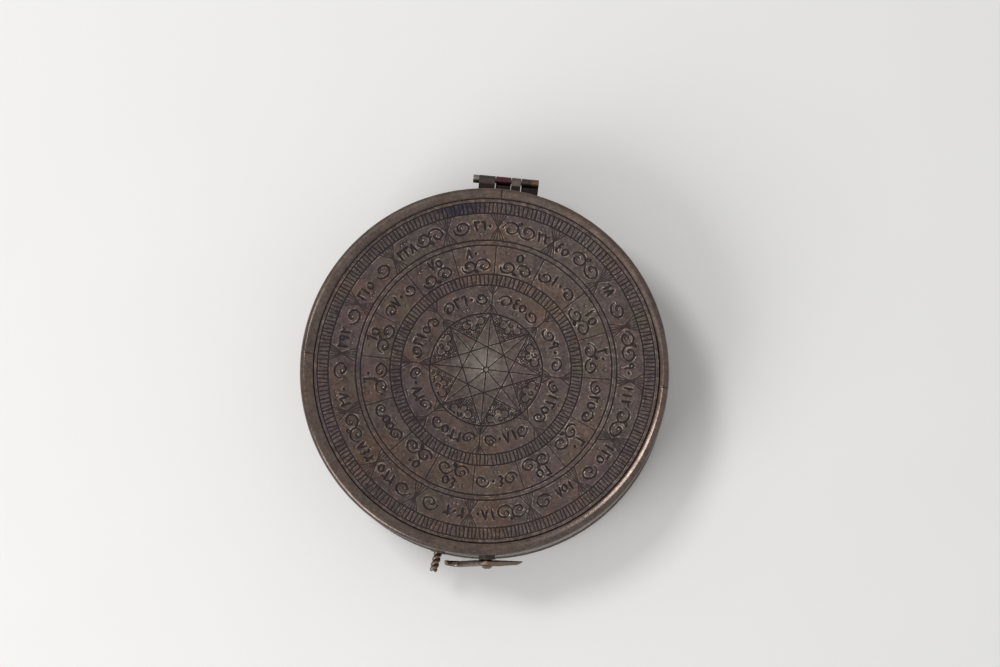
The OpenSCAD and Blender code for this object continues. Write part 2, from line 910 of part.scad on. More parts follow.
// Washer at the stud's root
module stud_washer() {
    color(warm_brass)
        outward(-stud_angle, stud_z)
            ring(stud_washer_r, stud_r + fit, wall_r, wall_r + stud_washer_t);
}

case_base();
case_wall();
case_sleeve();
dial_ledge();
dial_plate();
dial_screws();
compass_bowl();
compass_card();
needle_pivot();
needle();
needle_cap();
compass_glass();
glass_ring();
index_collar();
index_arm();
index_rivet();
gnomon_bracket();
gnomon_pin();
gnomon();
lid_rim();
lid_plate();
hinge_leaf_case();
hinge_leaf_lid();
hinge_pin();
hinge_rivets_case();
hinge_rivets_lid();
catch_hook();
hook_rivet();
hook_washer();
catch_stud();
stud_washer();
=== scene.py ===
"""Dresses the solids of a round brass qibla indicator and sets it in a plain studio."""

import json
import math

import bpy
import numpy as np
from mathutils import Matrix, Vector


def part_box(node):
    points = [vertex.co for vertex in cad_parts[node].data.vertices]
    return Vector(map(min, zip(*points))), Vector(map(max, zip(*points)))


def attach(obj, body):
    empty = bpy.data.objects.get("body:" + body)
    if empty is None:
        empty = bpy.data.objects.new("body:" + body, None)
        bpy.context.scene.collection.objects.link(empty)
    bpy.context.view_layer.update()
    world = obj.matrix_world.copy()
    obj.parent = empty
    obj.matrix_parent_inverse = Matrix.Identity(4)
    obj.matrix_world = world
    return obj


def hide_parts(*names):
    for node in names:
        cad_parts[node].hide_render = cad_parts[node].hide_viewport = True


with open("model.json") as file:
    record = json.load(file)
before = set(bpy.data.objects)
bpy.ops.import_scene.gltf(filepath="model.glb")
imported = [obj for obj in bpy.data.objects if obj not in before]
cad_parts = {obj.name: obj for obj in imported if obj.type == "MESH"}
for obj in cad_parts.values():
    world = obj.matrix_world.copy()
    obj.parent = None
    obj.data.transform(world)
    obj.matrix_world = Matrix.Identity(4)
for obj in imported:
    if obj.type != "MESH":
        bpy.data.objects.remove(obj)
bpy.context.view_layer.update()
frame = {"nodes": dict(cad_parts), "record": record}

bl_info = {
    "name": "Qibla indicator",
    "version": (1, 0, 0),
    "blender": (4, 5, 0),
    "location": "3D View > Sidebar > Qibla",
    "description": "Makes the engraved lid, the fittings and the finishes of a round brass qibla indicator",
    "category": "Add Mesh",
}

# A millimetre, and sizes in millimetres that come from the solids

MM = 0.001


def low(node):
    """Lowest corner of a solid, in millimetres."""
    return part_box(node)[0] / MM


def high(node):
    """Highest corner of a solid, in millimetres."""
    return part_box(node)[1] / MM


def middle_of(node):
    """Middle of a solid's box, in millimetres."""
    return (low(node) + high(node)) / 2


FACE_Z = high("lid_plate").z
FACE_UNDER_Z = low("lid_plate").z
FACE_R = high("lid_plate").x
CASE_R = high("lid_rim").x
LID_TOP_Z = high("lid_rim").z
LID_UNDER_Z = low("lid_rim").z
WALL_R = high("case_wall").x
LEAF_R = WALL_R + 0.5
KNUCKLE = middle_of("hinge_pin")
STUD = middle_of("catch_stud")
DIAL_Z = high("dial_plate").z
COMPASS_Y = middle_of("compass_glass").y

# The hook: its pivot, how far out it is and how it leans, and the gripped stud as seen from the pivot

HOOK_JOINT = [joint for joint in frame["record"]["behaviour"]["joints"] if joint["name"] == "hook_swing"][0]
HOOK_ANGLE = math.atan2(HOOK_JOINT["axis"][0], -HOOK_JOINT["axis"][1])
PIVOT_Z = HOOK_JOINT["pos_m"][2] / MM
HOOK_IN = WALL_R + 1.0
HOOK_LEAN = 0.055
HOOK_RELEASE = math.radians(26)
GRIPPED_STUD = (-10.85, STUD.z - PIVOT_Z)
JAW_R = 1.7

# Circles engraved on the lid, from the star outwards, and on the dial, in millimetres

STAR_R = 11.45
INNER_CELL_R = 17.3
INNER_TICK_R = 19.5
MIDDLE_CELL_R = 25.5
PLAIN_BAND_R = 26.5
OUTER_CELL_R = 32.1
EDGE_LINE_R = 34.3
SCALE_IN_R = 27.7
SCALE_OUT_R = 31.9
SCALE_MARGIN = 0.2

# The lid's round rim: half its height and width, the radius of its crest, and how far it falls to the face

RIM_HALF_H = (CASE_R - FACE_R - 0.02) / 2
RIM_HALF_W = 0.9 * RIM_HALF_H
CREST_R = CASE_R - RIM_HALF_W
RIM_FALL = LID_TOP_Z - FACE_Z + 0.03

# The engraver's habits: the star's first point, how far the dividing lines stray, and the room for a digit

STAR_POINTS = 8
FIRST_TIP = math.radians(90)
STAR_DRIFT = math.radians(0.9)
CELL_DRIFT = math.radians(1.3)
DIGIT_PITCH = 0.72

# The camera's sensor, the photograph's size, and where the middle of the lid is on it, in pixels

SENSOR_WIDTH = 36
PHOTO_SIZE = (1000, 667)
LID_PIXEL = (483.95, 369.95)

# Upwards, every row of a ring's grid, and a distance too great to count

UP = np.array([0, 0, 1.0])
WHOLE = slice(None)
FAR = 9.0


# Numbers and meshes


def wrapped(angle):
    """An angle brought to between minus half a turn and half a turn."""
    return np.angle(np.exp(1j * angle))


def from_nearest(angle, count):
    """How far an angle is past the nearest of some even directions round the circle."""
    return wrapped(count * angle) / count


def even_turns(count):
    """Even directions round the circle, one to a row."""
    return np.linspace(0, math.tau, count, endpoint=False)[:, None]


def towards(turn):
    """A flat step of length one in a direction."""
    return np.array([math.cos(turn), math.sin(turn)])


def round_axis(turn, radius, height):
    """Places in some directions, at some distances from the upright axis and at some heights."""
    return np.stack(np.broadcast_arrays(radius * np.cos(turn), radius * np.sin(turn), height), -1)


def smooth_step(value, start, end):
    """0 below start, 1 above end, and an even S-curve between them."""
    share = np.clip((value - start) / (end - start), 0, 1)
    return share * share * (3 - 2 * share)


def uneven(x, y, size, seed):
    """Slow hand-made unevenness from -1 to 1: the mean of four crossed sine waves of about this size."""
    rng = np.random.default_rng(seed)
    total = np.zeros(np.broadcast(x, y).shape)
    for _ in range(4):
        heading = rng.uniform(0, math.tau)
        length = size * rng.uniform(0.7, 1.5)
        phase = rng.uniform(0, math.tau)
        along = x * math.cos(heading) + y * math.sin(heading)
        total += np.sin(math.tau * along / length + phase)
    return total / 4


def wrapped_quads(around, along, closed):
    """Quads of a grid that wraps round in its first direction, and in its second too where closed."""
    i = np.arange(around)[:, None]
    j = np.arange(along if closed else along - 1)[None, :]
    next_i = (i + 1) % around
    next_j = (j + 1) % along
    corners = [i * along + j, i * along + next_j, next_i * along + next_j, next_i * along + j]
    return np.stack(np.broadcast_arrays(*corners), -1).reshape(-1, 4)


def end_fan(ring, centre, turned):
    """Triangles from a ring of points to one point in its middle, turned round where asked."""
    following = np.roll(ring, -1)
    first, second = (following, ring) if turned else (ring, following)
    return np.stack([np.full(len(ring), centre), first, second], -1)


def capped_grid(points, ends, turned=False):
    """Points and faces of a grid that wraps round and has a fan of triangles at both ends. The fans meet at
    two more points. All faces are turned round where asked."""
    around, along = points.shape[:2]
    first = np.arange(around) * along
    sides = wrapped_quads(around, along, closed=False)
    faces = [sides[:, ::-1] if turned else sides,
             end_fan(first, around * along, turned),
             end_fan(first + along - 1, around * along + 1, not turned)]
    return np.concatenate([points.reshape(-1, 3), ends]), faces


def add_to_scene(name, data):
    """Adds an object to the scene."""
    made = bpy.data.objects.new(name, data)
    bpy.context.scene.collection.objects.link(made)
    return made


def new_mesh(name, points, faces, finish):
    """A linked object whose mesh has points in millimetres, groups of faces and one finish."""
    mesh = bpy.data.meshes.new(name)
    corners = [face for group in faces for face in group.tolist()]
    mesh.from_pydata((points.reshape(-1, 3) * MM).tolist(), [], corners)
    mesh.materials.append(finish)
    return add_to_scene(name, mesh)


def add_piece(name, points, faces, finish, body, replaced=(), marks=None, crease=40):
    """Adds a piece that rides on a body. marks are numbers kept at its points."""
    piece = new_mesh(name, points, faces, finish)
    for mark, values in (marks or {}).items():
        layer = piece.data.attributes.new(mark, "FLOAT", "POINT")
        layer.data.foreach_set("value", np.ascontiguousarray(values.ravel(), dtype=np.float32))
    piece.data.shade_smooth()
    piece.data.set_sharp_from_angle(angle=math.radians(crease))
    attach(piece, body)
    if replaced:
        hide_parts(*replaced)


# Strokes of the engraver


def straight(start, end, steps=2):
    """Points on a straight line."""
    share = np.linspace(0, 1, steps)[:, None]
    return np.array(start) * (1 - share) + np.array(end) * share


def ellipse(centre, width, height, turn):
    """Points in given directions on an ellipse, from its half width and half height."""
    return np.stack([centre[0] + width * np.cos(turn), centre[1] + height * np.sin(turn)], -1)


def arc(centre, radius, start, end, flat=1.0, steps=20):
    """Points on part of an ellipse between two directions in degrees: its height is flat times its width."""
    return ellipse(centre, radius, flat * radius, np.radians(np.linspace(start, end, steps)))


def curl(centre, radius, turns, start, steps=30):
    """Points on a curl: its radius shrinks evenly to a fifth. It turns back where turns is negative."""
    share = np.linspace(0, 1, steps)
    reach = radius * (1 - 0.8 * share)
    return ellipse(centre, reach, reach, math.radians(start) + math.tau * turns * share)


def scroll(centre, reach, height, turns, steps=36):
    """Points on a scroll that starts at its left: an ellipse, which shrinks to a fifth after half a turn."""
    share = np.linspace(0, 1, steps)
    first_half = 0.5 / abs(turns)
    shrunk = 1 - 0.8 * np.clip((share - first_half) / (1 - first_half), 0, 1)
    return ellipse(centre, reach * shrunk, height * shrunk, math.pi + math.tau * turns * share)


def leaf(centre, length, width, tilt, steps=28):
    """Points round a leaf with pointed ends: half a sine out on one side and back on the other, tilted."""
    share = np.linspace(0, 2, steps)
    x = length * (np.where(share < 1, share, 2 - share) - 0.5)
    y = width / 2 * np.sin(math.pi * share)
    turn = math.radians(tilt)
    return np.stack([centre[0] + x * math.cos(turn) - y * math.sin(turn),
                     centre[1] + x * math.sin(turn) + y * math.cos(turn)], -1)


def numeral_lines(digit):
    """Strokes of an eastern numeral in a box about 0.6 wide and 1 high."""
    hook = arc((0.35, 0.98), 0.25, 180, 350, flat=0.9)
    small_hooks = [arc((0.22, 1), 0.13, 180, 360), arc((0.48, 1), 0.13, 180, 350)]
    shapes = {
        0: [arc((0.3, 0.45), 0.05, 0, 360, steps=7)],
        1: [straight((0.22, 1), (0.34, 0), 6)],
        2: [hook, straight((0.1, 1), (0.3, 0), 6)],
        3: [*small_hooks, straight((0.09, 1), (0.28, 0), 6)],
        4: [arc((0.42, 0.75), 0.22, 80, 270), arc((0.42, 0.28), 0.25, 90, 285)],
        5: [arc((0.32, 0.4), 0.27, 100, 460, flat=1.25)],
        6: [straight((0.1, 0.86), (0.5, 1), 5), straight((0.5, 1), (0.42, 0), 6)],
        7: [straight((0.05, 1), (0.3, 0), 6), straight((0.3, 0), (0.58, 1), 6)],
        8: [straight((0.05, 0), (0.32, 1), 6), straight((0.32, 1), (0.58, 0), 6)],
        9: [arc((0.27, 0.74), 0.2, 20, 380), straight((0.46, 0.8), (0.44, 0), 6)],
    }
    return shapes[digit]


def number_length(number, height):
    """Room that a whole number takes along its line."""
    return DIGIT_PITCH * height * len(str(number))


def number_lines(number, place, height):
    """Strokes of a whole number, centred on a place."""
    side_room = 0.06
    left = place[0] - number_length(number, height) / 2 + side_room * height
    lines = []
    for position, digit in enumerate(str(number)):
        corner = np.array([left + position * DIGIT_PITCH * height, place[1] - height / 2])
        lines += [line * height + corner for line in numeral_lines(int(digit))]
    return lines


def running_scroll(rng, length, height):
    """Strokes and punched dots of a running scroll: a stem goes over and under its bends in turn, each bend
    winds inwards round a berry, and a leaf fills the corner where the stem crosses the middle line."""
    radius = 0.4 * height
    bends = max(1, int(length / (2.1 * radius)))
    pitch = length / bends
    reach = min(1.15 * radius, 0.5 * pitch)
    side = rng.choice([-1, 1])
    lines = []
    berries = []
    for bend in range(bends):
        up = side * (-1) ** bend
        x = (bend + 0.5 - bends / 2) * pitch
        lines.append(scroll((x, 0), reach, radius, -up * rng.uniform(1.05, 1.3)))
        if bend < bends - 1:
            corner = (x + 0.5 * pitch, up * 0.36 * height)
            lines.append(leaf(corner, 0.3 * height, 0.14 * height, up * rng.uniform(20, 60)))
        berries.append((x, -0.05 * up * height))
    return lines, berries


def pen_widths(line, width):
    """Width of a broad-pen stroke at each point: widest across the pen's slant, thinner at both ends."""
    pen_slant = math.radians(38)
    run = np.gradient(line, axis=0)
    heading = np.arctan2(run[:, 1], run[:, 0])
    share = np.linspace(0, 1, len(line))
    taper = np.minimum(1, 0.45 + 4 * np.minimum(share, 1 - share))
    return width * (0.5 + 0.5 * np.abs(np.sin(heading - pen_slant))) * taper


def outside(x, y, line, widths=None):
    """How far each point lies outside a stroke: its distance from the line, less half the width if given."""
    start = line[:-1]
    step = line[1:] - start
    from_x = x[..., None] - start[:, 0]
    from_y = y[..., None] - start[:, 1]
    length = np.maximum((step ** 2).sum(-1), 1e-9)
    share = np.clip((from_x * step[:, 0] + from_y * step[:, 1]) / length, 0, 1)
    away = np.hypot(from_x - share * step[:, 0], from_y - share * step[:, 1])
    if widths is not None:
        away -= (widths[:-1] + share * (widths[1:] - widths[:-1])) / 2
    return away.min(-1)


class EngravedRing:
    """How deep, how dark and how bright an engraved ring is, on a grid of directions and radii."""

    def __init__(self, inner, outer, step, settings, around=None):
        self.inner = inner
        self.outer = outer
        self.middle = (inner + outer) / 2
        self.height = outer - inner
        self.settings = settings
        self.tick_w = settings.tick_width / MM
        self.line_w = settings.line_width / MM
        self.line_depth = settings.line_depth / MM
        self.stroke_w = settings.stroke_width / MM
        self.stroke_depth = settings.stroke_depth / MM
        self.angle = even_turns(around or round(math.tau * outer / step))
        self.radius = np.linspace(inner, outer, max(3, round(self.height / step) + 1))[None, :]
        self.x = self.radius * np.cos(self.angle)
        self.y = self.radius * np.sin(self.angle)
        self.depth = np.zeros(self.x.shape)
        self.burr = np.zeros(self.x.shape)
        self.fill = np.zeros(self.x.shape)
        self.shine = np.zeros(self.x.shape)
        self.tarnish = np.zeros(self.x.shape)

    def raise_to(self, layer, values, rows=WHOLE):
        """Raises a layer of the grid to new values where they are higher."""
        grid = getattr(self, layer)
        grid[rows] = np.maximum(grid[rows], values)

    def sink(self, gap, depth, edge, rows=WHOLE):
        """Cuts the grid where gap is below zero, with a wall that slopes over the edge width."""
        share = np.clip(0.5 - gap / edge, 0, 1)
        burr_share = 0.24
        self.raise_to("depth", depth * share, rows)
        self.raise_to("fill", smooth_step(share, 0.1, 0.7), rows)
        self.raise_burr(gap - edge / 2, burr_share * depth, rows)

    def groove(self, distance, width, depth, rows=WHOLE, darkness=1.0):
        """Cuts a V groove: deepest on its middle line and level half its width away."""
        share = np.clip(1 - 2 * distance / width, 0, 1)
        burr_share = 0.15
        self.raise_to("depth", depth * share, rows)
        self.raise_to("fill", darkness * smooth_step(share, 0.0, 0.45), rows)
        self.raise_burr(distance - width / 2, burr_share * depth, rows)

    def raise_burr(self, gap, height, rows):
        """Raises the burr that the tool throws up: a low bell just outside the edge of a cut."""
        crest = 0.07
        burr_width = 0.1
        self.raise_to("burr", height * np.exp(-((gap - crest) / burr_width) ** 2), rows)

    def circle(self, radius, width=1.0, depth=1.0):
        """Cuts a round groove, of a share of the usual width and depth of a line."""
        distance = np.broadcast_to(np.abs(self.radius - radius), self.depth.shape)
        self.groove(distance, width * self.line_w, depth * self.line_depth)

    def edge_circles(self):
        """Cuts round grooves along both edges of the ring."""
        self.circle(self.inner)
        self.circle(self.outer)

    def relief(self):
        """How far each point stands above the plain surface: burrs up, cuts down."""
        return np.where(self.depth > 0.2 * self.burr, -self.depth, self.burr)

    def marks(self):
        """The numbers kept at the points: dirt in the cuts, burnished floors and a painted sheen, worn edges
        and tarnish.
        """
        full_wear = 0.035
        worn = np.clip(self.burr / full_wear, 0, 1) * (self.depth < 0.3 * self.burr)
        return {"cut_fill": self.fill, "shine": self.shine, "worn": worn, "tarnish": self.tarnish}


class Patch:
    """The part of a ring near one direction, with its places: u along the ring, v out from its middle."""

    def __init__(self, ring, direction, half_width):
        turn = wrapped(ring.angle[:, 0] - direction)
        self.ring = ring
        self.rows = np.nonzero(np.abs(turn) < half_width)[0]
        self.u = -turn[self.rows][:, None] * ring.radius
        self.v = np.broadcast_to(ring.radius - ring.middle, self.u.shape)

    def write(self, line, width, depth):
        """Cuts one pen stroke."""
        wall = 0.14
        self.ring.sink(outside(self.u, self.v, line, pen_widths(line, width)), depth, wall, self.rows)

    def scratch(self, start, end, width, depth):
        """Cuts one thin straight line."""
        away = outside(self.u, self.v, straight(start, end))
        self.ring.groove(away, width, depth, self.rows, darkness=0.8)

    def divide(self, width, depth):
        """Cuts one thin line straight across the ring."""
        half = self.ring.height / 2
        self.scratch((0, -half), (0, half), width, depth)

    def punch(self, place, size, depth):
        """Strikes a round hollow with a dark edge and a bright floor."""
        away = np.hypot(self.u - place[0], self.v - place[1])
        share = np.clip(1.5 - 2 * away / size, 0, 1)
        bright = 1 - smooth_step(away, 0.12 * size, 0.3 * size)
        self.ring.raise_to("depth", depth * share, self.rows)
        self.ring.raise_to("fill", share * (1 - bright), self.rows)
        self.ring.raise_to("shine", bright, self.rows)


class Cell(Patch):
    """One cell of a ring, in which the engraver writes a number and ornament."""

    def __init__(self, ring, middle, half, margin, rng):
        super().__init__(ring, middle, half)
        self.length = 2 * (half * ring.middle - margin)
        self.height = ring.height
        self.rng = rng

    def write_number(self, number, place, tall):
        """Cuts a number in broad pen strokes."""
        for line in number_lines(number, place, tall):
            self.write(line, self.ring.stroke_w, self.ring.stroke_depth)

    def punch_dots(self, place, most):
        """Punches a short row of small dots, one to most of them."""
        count = self.rng.integers(1, most + 1)
        for number in range(count):
            x = place[0] + (number - (count - 1) / 2) * self.rng.uniform(0.7, 0.85)
            y = place[1] + self.rng.uniform(-0.12, 0.12)
            self.punch((x, y), self.rng.uniform(0.4, 0.52), self.ring.stroke_depth)

    def cut_scroll(self, place, length, height):
        """Cuts a running scroll with its berries."""
        lines, berries = running_scroll(self.rng, length, height)
        for line in lines:
            self.write(line + np.array(place), 0.82 * self.ring.stroke_w, self.ring.stroke_depth)
        for berry in berries:
            self.punch(np.array(berry) + place, self.rng.uniform(0.5, 0.66), 1.2 * self.ring.stroke_depth)


# The engraver's patterns


def hand_drift(number, amount):
    """How far the hand strayed at one division of the circle: two sines that never fall in step."""
    return amount * (0.6 * math.sin(1.9 * number + 0.7) + 0.4 * math.sin(4.3 * number + 2.1))


def divider_directions(count, amount):
    """Directions of the lines that part a ring into cells, as radians."""
    step = math.tau / count
    return [FIRST_TIP - step * number + hand_drift(number, amount) for number in range(count)]


def cell_directions(dividers):
    """Middle direction of each cell, between its two lines, and half of its width."""
    following = dividers[1:] + [dividers[0] - math.tau]
    return [((first + second) / 2, (first - second) / 2) for first, second in zip(dividers, following)]


def crowded(angle):
    """The angle as the engraver stepped it off: an even turn plus two sines, so that the ticks stand closest
    in the south-east and widest in the north-east."""
    return angle + 0.05 * np.sin(angle - math.radians(307)) + 0.04 * np.sin(2 * (angle - math.radians(332)))


def cut_ticks(ring, count, seed):
    """Cuts a scale of hand-cut ticks, each a little off its place and leaning."""
    rng = np.random.default_rng(seed)
    pitch = math.tau / count
    angle = crowded(ring.angle)
    number = np.round(angle / pitch).astype(int) % count
    strayed = rng.normal(0, 0.07, count)[number] * pitch
    leaning = rng.normal(0, 0.09, count)[number]
    from_tick = wrapped(angle - number * pitch) - strayed
    height = (ring.radius - ring.middle) / ring.height
    across = np.abs(from_tick * ring.radius - 2 * leaning * height)
    width = ring.tick_w * rng.uniform(0.75, 1.25, count)[number]
    inside = (ring.radius > ring.inner) & (ring.radius < ring.outer)
    ring.groove(np.where(inside, across / width, 1), 1, ring.line_depth, darkness=0.95)


def cut_fan(ring, direction, base, apex, half_base, lines):
    """Cuts a small hatched triangle: lines that run from its apex to even places along its base."""
    patch = Patch(ring, direction, half_base / min(base, apex) + 0.03)
    for place in np.linspace(-half_base, half_base, lines):
        depth = ring.line_depth if abs(place) > 0.99 * half_base else 0.7 * ring.line_depth
        patch.scratch((place, base - ring.middle), (0.06 * place, apex - ring.middle), 0.22, depth)
    share = (patch.v + ring.middle - apex) / (base - apex)
    shade = (share > 0) & (share < 1) & (np.abs(patch.u) < half_base * share)
    ring.raise_to("fill", 0.16 * shade, patch.rows)


def fill_side_by_side(cell, number):
    """Fills a cell with a number at one end, dots by it, and a scroll in the rest."""
    tall = cell.rng.uniform(0.33, 0.38) * cell.height
    spare = cell.length - number_length(number, tall)
    side = cell.rng.choice([-1, 1])
    aside = side * 0.5 * spare
    up = cell.rng.uniform(-0.05, 0.08) * cell.height
    cell.write_number(number, (aside, up), tall)
    cell.punch_dots((aside - 0.3 * side, up + cell.rng.choice([-1, 1]) * 0.3 * cell.height), 3)
    rest = spare - 0.08 * cell.height
    place = (-side * 0.5 * (cell.length - rest), cell.rng.uniform(-0.03, 0.03) * cell.height)
    cell.cut_scroll(place, rest, 0.6 * cell.height)


def fill_stacked(cell, number):
    """Fills a cell with a number and dots above, and a scroll below."""
    tall = cell.rng.uniform(0.33, 0.38) * cell.height
    aside = cell.rng.uniform(-0.12, 0.12) * cell.length
    cell.write_number(number, (aside, 0.24 * cell.height), tall)
    cell.punch_dots((-math.copysign(0.3 * cell.length, aside), 0.27 * cell.height), 2)
    cell.cut_scroll((0, -0.19 * cell.height), 0.84 * cell.length, 0.5 * cell.height)


def fill_flanked(cell, number):
    """Fills a cell with a number in its middle, dots under or over it, and a scroll on each side."""
    tall = 0.36 * cell.height
    rest = (cell.length - number_length(number, tall)) / 2
    cell.write_number(number, (0, cell.rng.uniform(0, 0.08) * cell.height), tall)
    cell.punch_dots((0, cell.rng.choice([-0.28, 0.36]) * cell.height), 3)
    for side in (-1, 1):
        place = (side * 0.5 * (cell.length - rest), cell.rng.uniform(-0.04, 0.04) * cell.height)
        cell.cut_scroll(place, 0.9 * rest, 0.46 * cell.height)


def fill_cells(ring, dividers, margin, degrees, seed, ways):
    """Fills the cells of a ring in one way after another. Their numbers count on by some degrees."""
    rng = np.random.default_rng(seed)
    for number, (middle, half) in enumerate(cell_directions(dividers)):
        fill = ways[number % len(ways)]
        fill(Cell(ring, middle, half, margin, rng), round(degrees * (number + 1)))


def beyond_side(ring, first, second):
    """How far each point lies beyond the line through two places, on the side away from the middle."""
    along = (second - first) / np.linalg.norm(second - first)
    reach = along[1] * first[0] - along[0] * first[1]
    return np.sign(reach) * (ring.x * along[1] - ring.y * along[0]) - abs(reach)


def outside_small_rings(x, y):
    """How far each point lies outside small struck rings: one in each square of a lattice, shaken."""
    pitch = 0.72
    ring_r = 0.24
    line = 0.12
    squares = 64
    shake = np.random.default_rng(5).uniform(-0.3, 0.3, (2, squares, squares))
    column = np.floor(x / pitch).astype(int)
    row = np.floor(y / pitch).astype(int)
    away = np.full(x.shape, FAR)
    for i in (column - 1, column, column + 1):
        for j in (row - 1, row, row + 1):
            from_x = x - (i + 0.5 + shake[0, i % squares, j % squares]) * pitch
            from_y = y - (j + 0.5 + shake[1, i % squares, j % squares]) * pitch
            away = np.minimum(away, np.abs(np.hypot(from_x, from_y) - ring_r))
    return away - line / 2


def outside_lobes(ring, corners, rng):
    """How far each point lies outside the smooth lobes in the corners between the star's points. A lobe has
    a place out from the middle, a place aside and a radius."""
    away = np.full(ring.x.shape, FAR)
    for middle, _ in corners:
        slip = rng.uniform(-0.6, 0.6)
        side_lobes = ((9.75, slip + 1.5, 0.8), (9.85, slip - 1.5, 0.75))
        for out, aside, lobe_r in ((10.4, slip, 1.15), *side_lobes, (9.0, 0.4 * slip, 0.62)):
            x, y = out * towards(middle) + aside * towards(middle + math.pi / 2)
            away = np.minimum(away, np.hypot(ring.x - x, ring.y - y) - lobe_r)
    return away


def cut_star_lines(ring, tips):
    """Cuts the star's sides and rays. Returns where the corners between its points are, and how far each
    point of them lies from a side."""
    ground = np.zeros(ring.x.shape, bool)
    from_sides = np.full(ring.x.shape, FAR)
    for number, tip in enumerate(tips):
        far_tip = tips[(number + 3) % STAR_POINTS]
        next_tip = tips[(number + 1) % STAR_POINTS]
        back_tip = tips[(number - 2) % STAR_POINTS]
        ring.groove(outside(ring.x, ring.y, straight(tip, far_tip)), 0.8 * ring.line_w, ring.line_depth)
        ring.groove(outside(ring.x, ring.y, straight((0, 0), tip)), 0.7 * ring.line_w, 0.8 * ring.line_depth)
        middle_x, middle_y = tip + next_tip
        between = ring.x * middle_x + ring.y * middle_y > 0
        beyond = np.minimum(beyond_side(ring, tip, far_tip), beyond_side(ring, next_tip, back_tip))
        ground |= (beyond > 0.22) & between
        from_sides = np.where(between & (beyond > 0), np.minimum(from_sides, beyond), from_sides)
    return ground & (ring.radius < STAR_R - 0.3), from_sides


def engrave_star(ring):
    """Cuts the eight-pointed star and its rays, the struck corners with lobes and curls, and the middle, and
    marks a painted sheen near the middle.
    """
    rng = np.random.default_rng(11)
    directions = divider_directions(STAR_POINTS, STAR_DRIFT)
    corners = cell_directions(directions)
    ground, from_sides = cut_star_lines(ring, [STAR_R * towards(turn) for turn in directions])
    lobes = outside_lobes(ring, corners, rng)
    wall = 0.1
    struck = ground & (lobes > 0.2) & (from_sides < 1.9)
    struck_depth = 0.11
    lobe_line_half = 0.1
    ring.sink(np.where(struck, outside_small_rings(ring.x, ring.y), FAR), struck_depth, wall)
    ring.sink(np.where(ground, np.abs(lobes - 0.05) - lobe_line_half, FAR), ring.line_depth, wall)
    ring.raise_to("fill", 0.06 * (ground & (lobes > 0.1)))
    # Painted sheen: a soft pale patch near the star's middle stands in for a highlight.
    sheen_x = -0.8
    sheen_y = 0.8
    sheen_r = 4.4
    from_sheen = np.hypot(ring.x - sheen_x, ring.y - sheen_y)
    ring.raise_to("shine", 0.25 * np.exp(-(from_sheen / sheen_r) ** 2) * (1 - ring.fill))
    curl_r = 0.62
    curl_out = 10.35
    for middle, half in corners:
        eye = (rng.uniform(-0.5, 0.5), curl_out - ring.middle)
        line = curl(eye, curl_r, rng.choice([-1, 1]) * 0.9, rng.uniform(0, 360))
        Patch(ring, middle, half).write(line, 0.3, 0.12)
    hole_line_r = 0.52
    hole_line_half = 0.11
    bright_r = 0.36
    from_middle = np.hypot(ring.x, ring.y)
    ring.sink(np.abs(from_middle - hole_line_r) - hole_line_half, 0.2, wall)
    ring.shine = np.where(from_middle < bright_r, 0.8, ring.shine)
    ring.circle(STAR_R, 1.2)


def engrave_inner_cells(ring):
    """Cuts eight long cells with ornament, parted by pairs of small hatched triangles."""
    ring.edge_circles()
    fan_height = 1.9
    dividers = divider_directions(STAR_POINTS, STAR_DRIFT)
    for direction in dividers:
        cut_fan(ring, direction, ring.outer, ring.outer - fan_height, 1.4, 4)
        cut_fan(ring, direction, ring.inner, ring.inner + fan_height, 1.5, 4)
        Patch(ring, direction, 0.05).divide(0.3, ring.line_depth)
    fill_cells(ring, dividers, 1.0, 45, 23, (fill_flanked,))


def engrave_inner_ticks(ring):
    """Cuts the inner scale."""
    ring.edge_circles()
    cut_ticks(ring, ring.settings.inner_ticks, 61)


def engrave_middle_cells(ring):
    """Cuts sixteen plain cells with ornament, in two rows in most of them, parted by thin lines."""
    ring.edge_circles()
    dividers = divider_directions(2 * STAR_POINTS, CELL_DRIFT)
    for direction in dividers:
        Patch(ring, direction, 0.04).divide(0.28, 0.8 * ring.line_depth)
    fill_cells(ring, dividers, 0.5, 5, 37, (fill_stacked, fill_flanked, fill_stacked))


def engrave_outer_cells(ring):
    """Cuts sixteen cells with ornament, parted by double fans that meet like an hourglass."""
    ring.edge_circles()
    dividers = divider_directions(2 * STAR_POINTS, CELL_DRIFT)
    for number, direction in enumerate(dividers):
        apex = ring.middle + 0.3 * math.sin(2.3 * number)
        cut_fan(ring, direction, ring.outer, apex, 1.75, 6)
        cut_fan(ring, direction, ring.inner, apex, 1.45, 5)
    fill_cells(ring, dividers, 0.9, 22.5, 53, (fill_side_by_side,))


def engrave_outer_ticks(ring):
    """Cuts the outer scale, on which a dark stain lies near the hinge."""
    ring.circle(ring.inner)
    ring.circle(ring.outer, 0.9)
    cut_ticks(ring, ring.settings.outer_ticks, 67)
    stain_direction = math.radians(105)
    stain_half_w = math.radians(9)
    from_stain = wrapped(ring.angle - stain_direction) / stain_half_w
    ring.tarnish = np.exp(-from_stain ** 4) * (0.8 + 0.2 * uneven(ring.x, ring.y, 1.6, 71))


def engrave_edge_band(ring):
    """Cuts the circles of the narrow band inside the rim."""
    ring.circle(ring.inner, 0.9)
    ring.circle(ring.outer, 0.7, 0.8)


# Making the lid


def face_height(x, y):
    """Height of the lid's face before it is engraved: level, with the faint waves of hand work."""
    return FACE_Z - 0.03 + 0.02 * uneven(x, y, 21, 3) + 0.008 * uneven(x, y, 5, 4)


def face_points(ring):
    """Places of a ring's grid on the lid's face, whose middle is off the lid's."""
    x = ring.x + ring.settings.shift[0] / MM
    y = ring.y + ring.settings.shift[1] / MM
    return np.stack([x, y, face_height(x, y) + ring.relief()], -1)


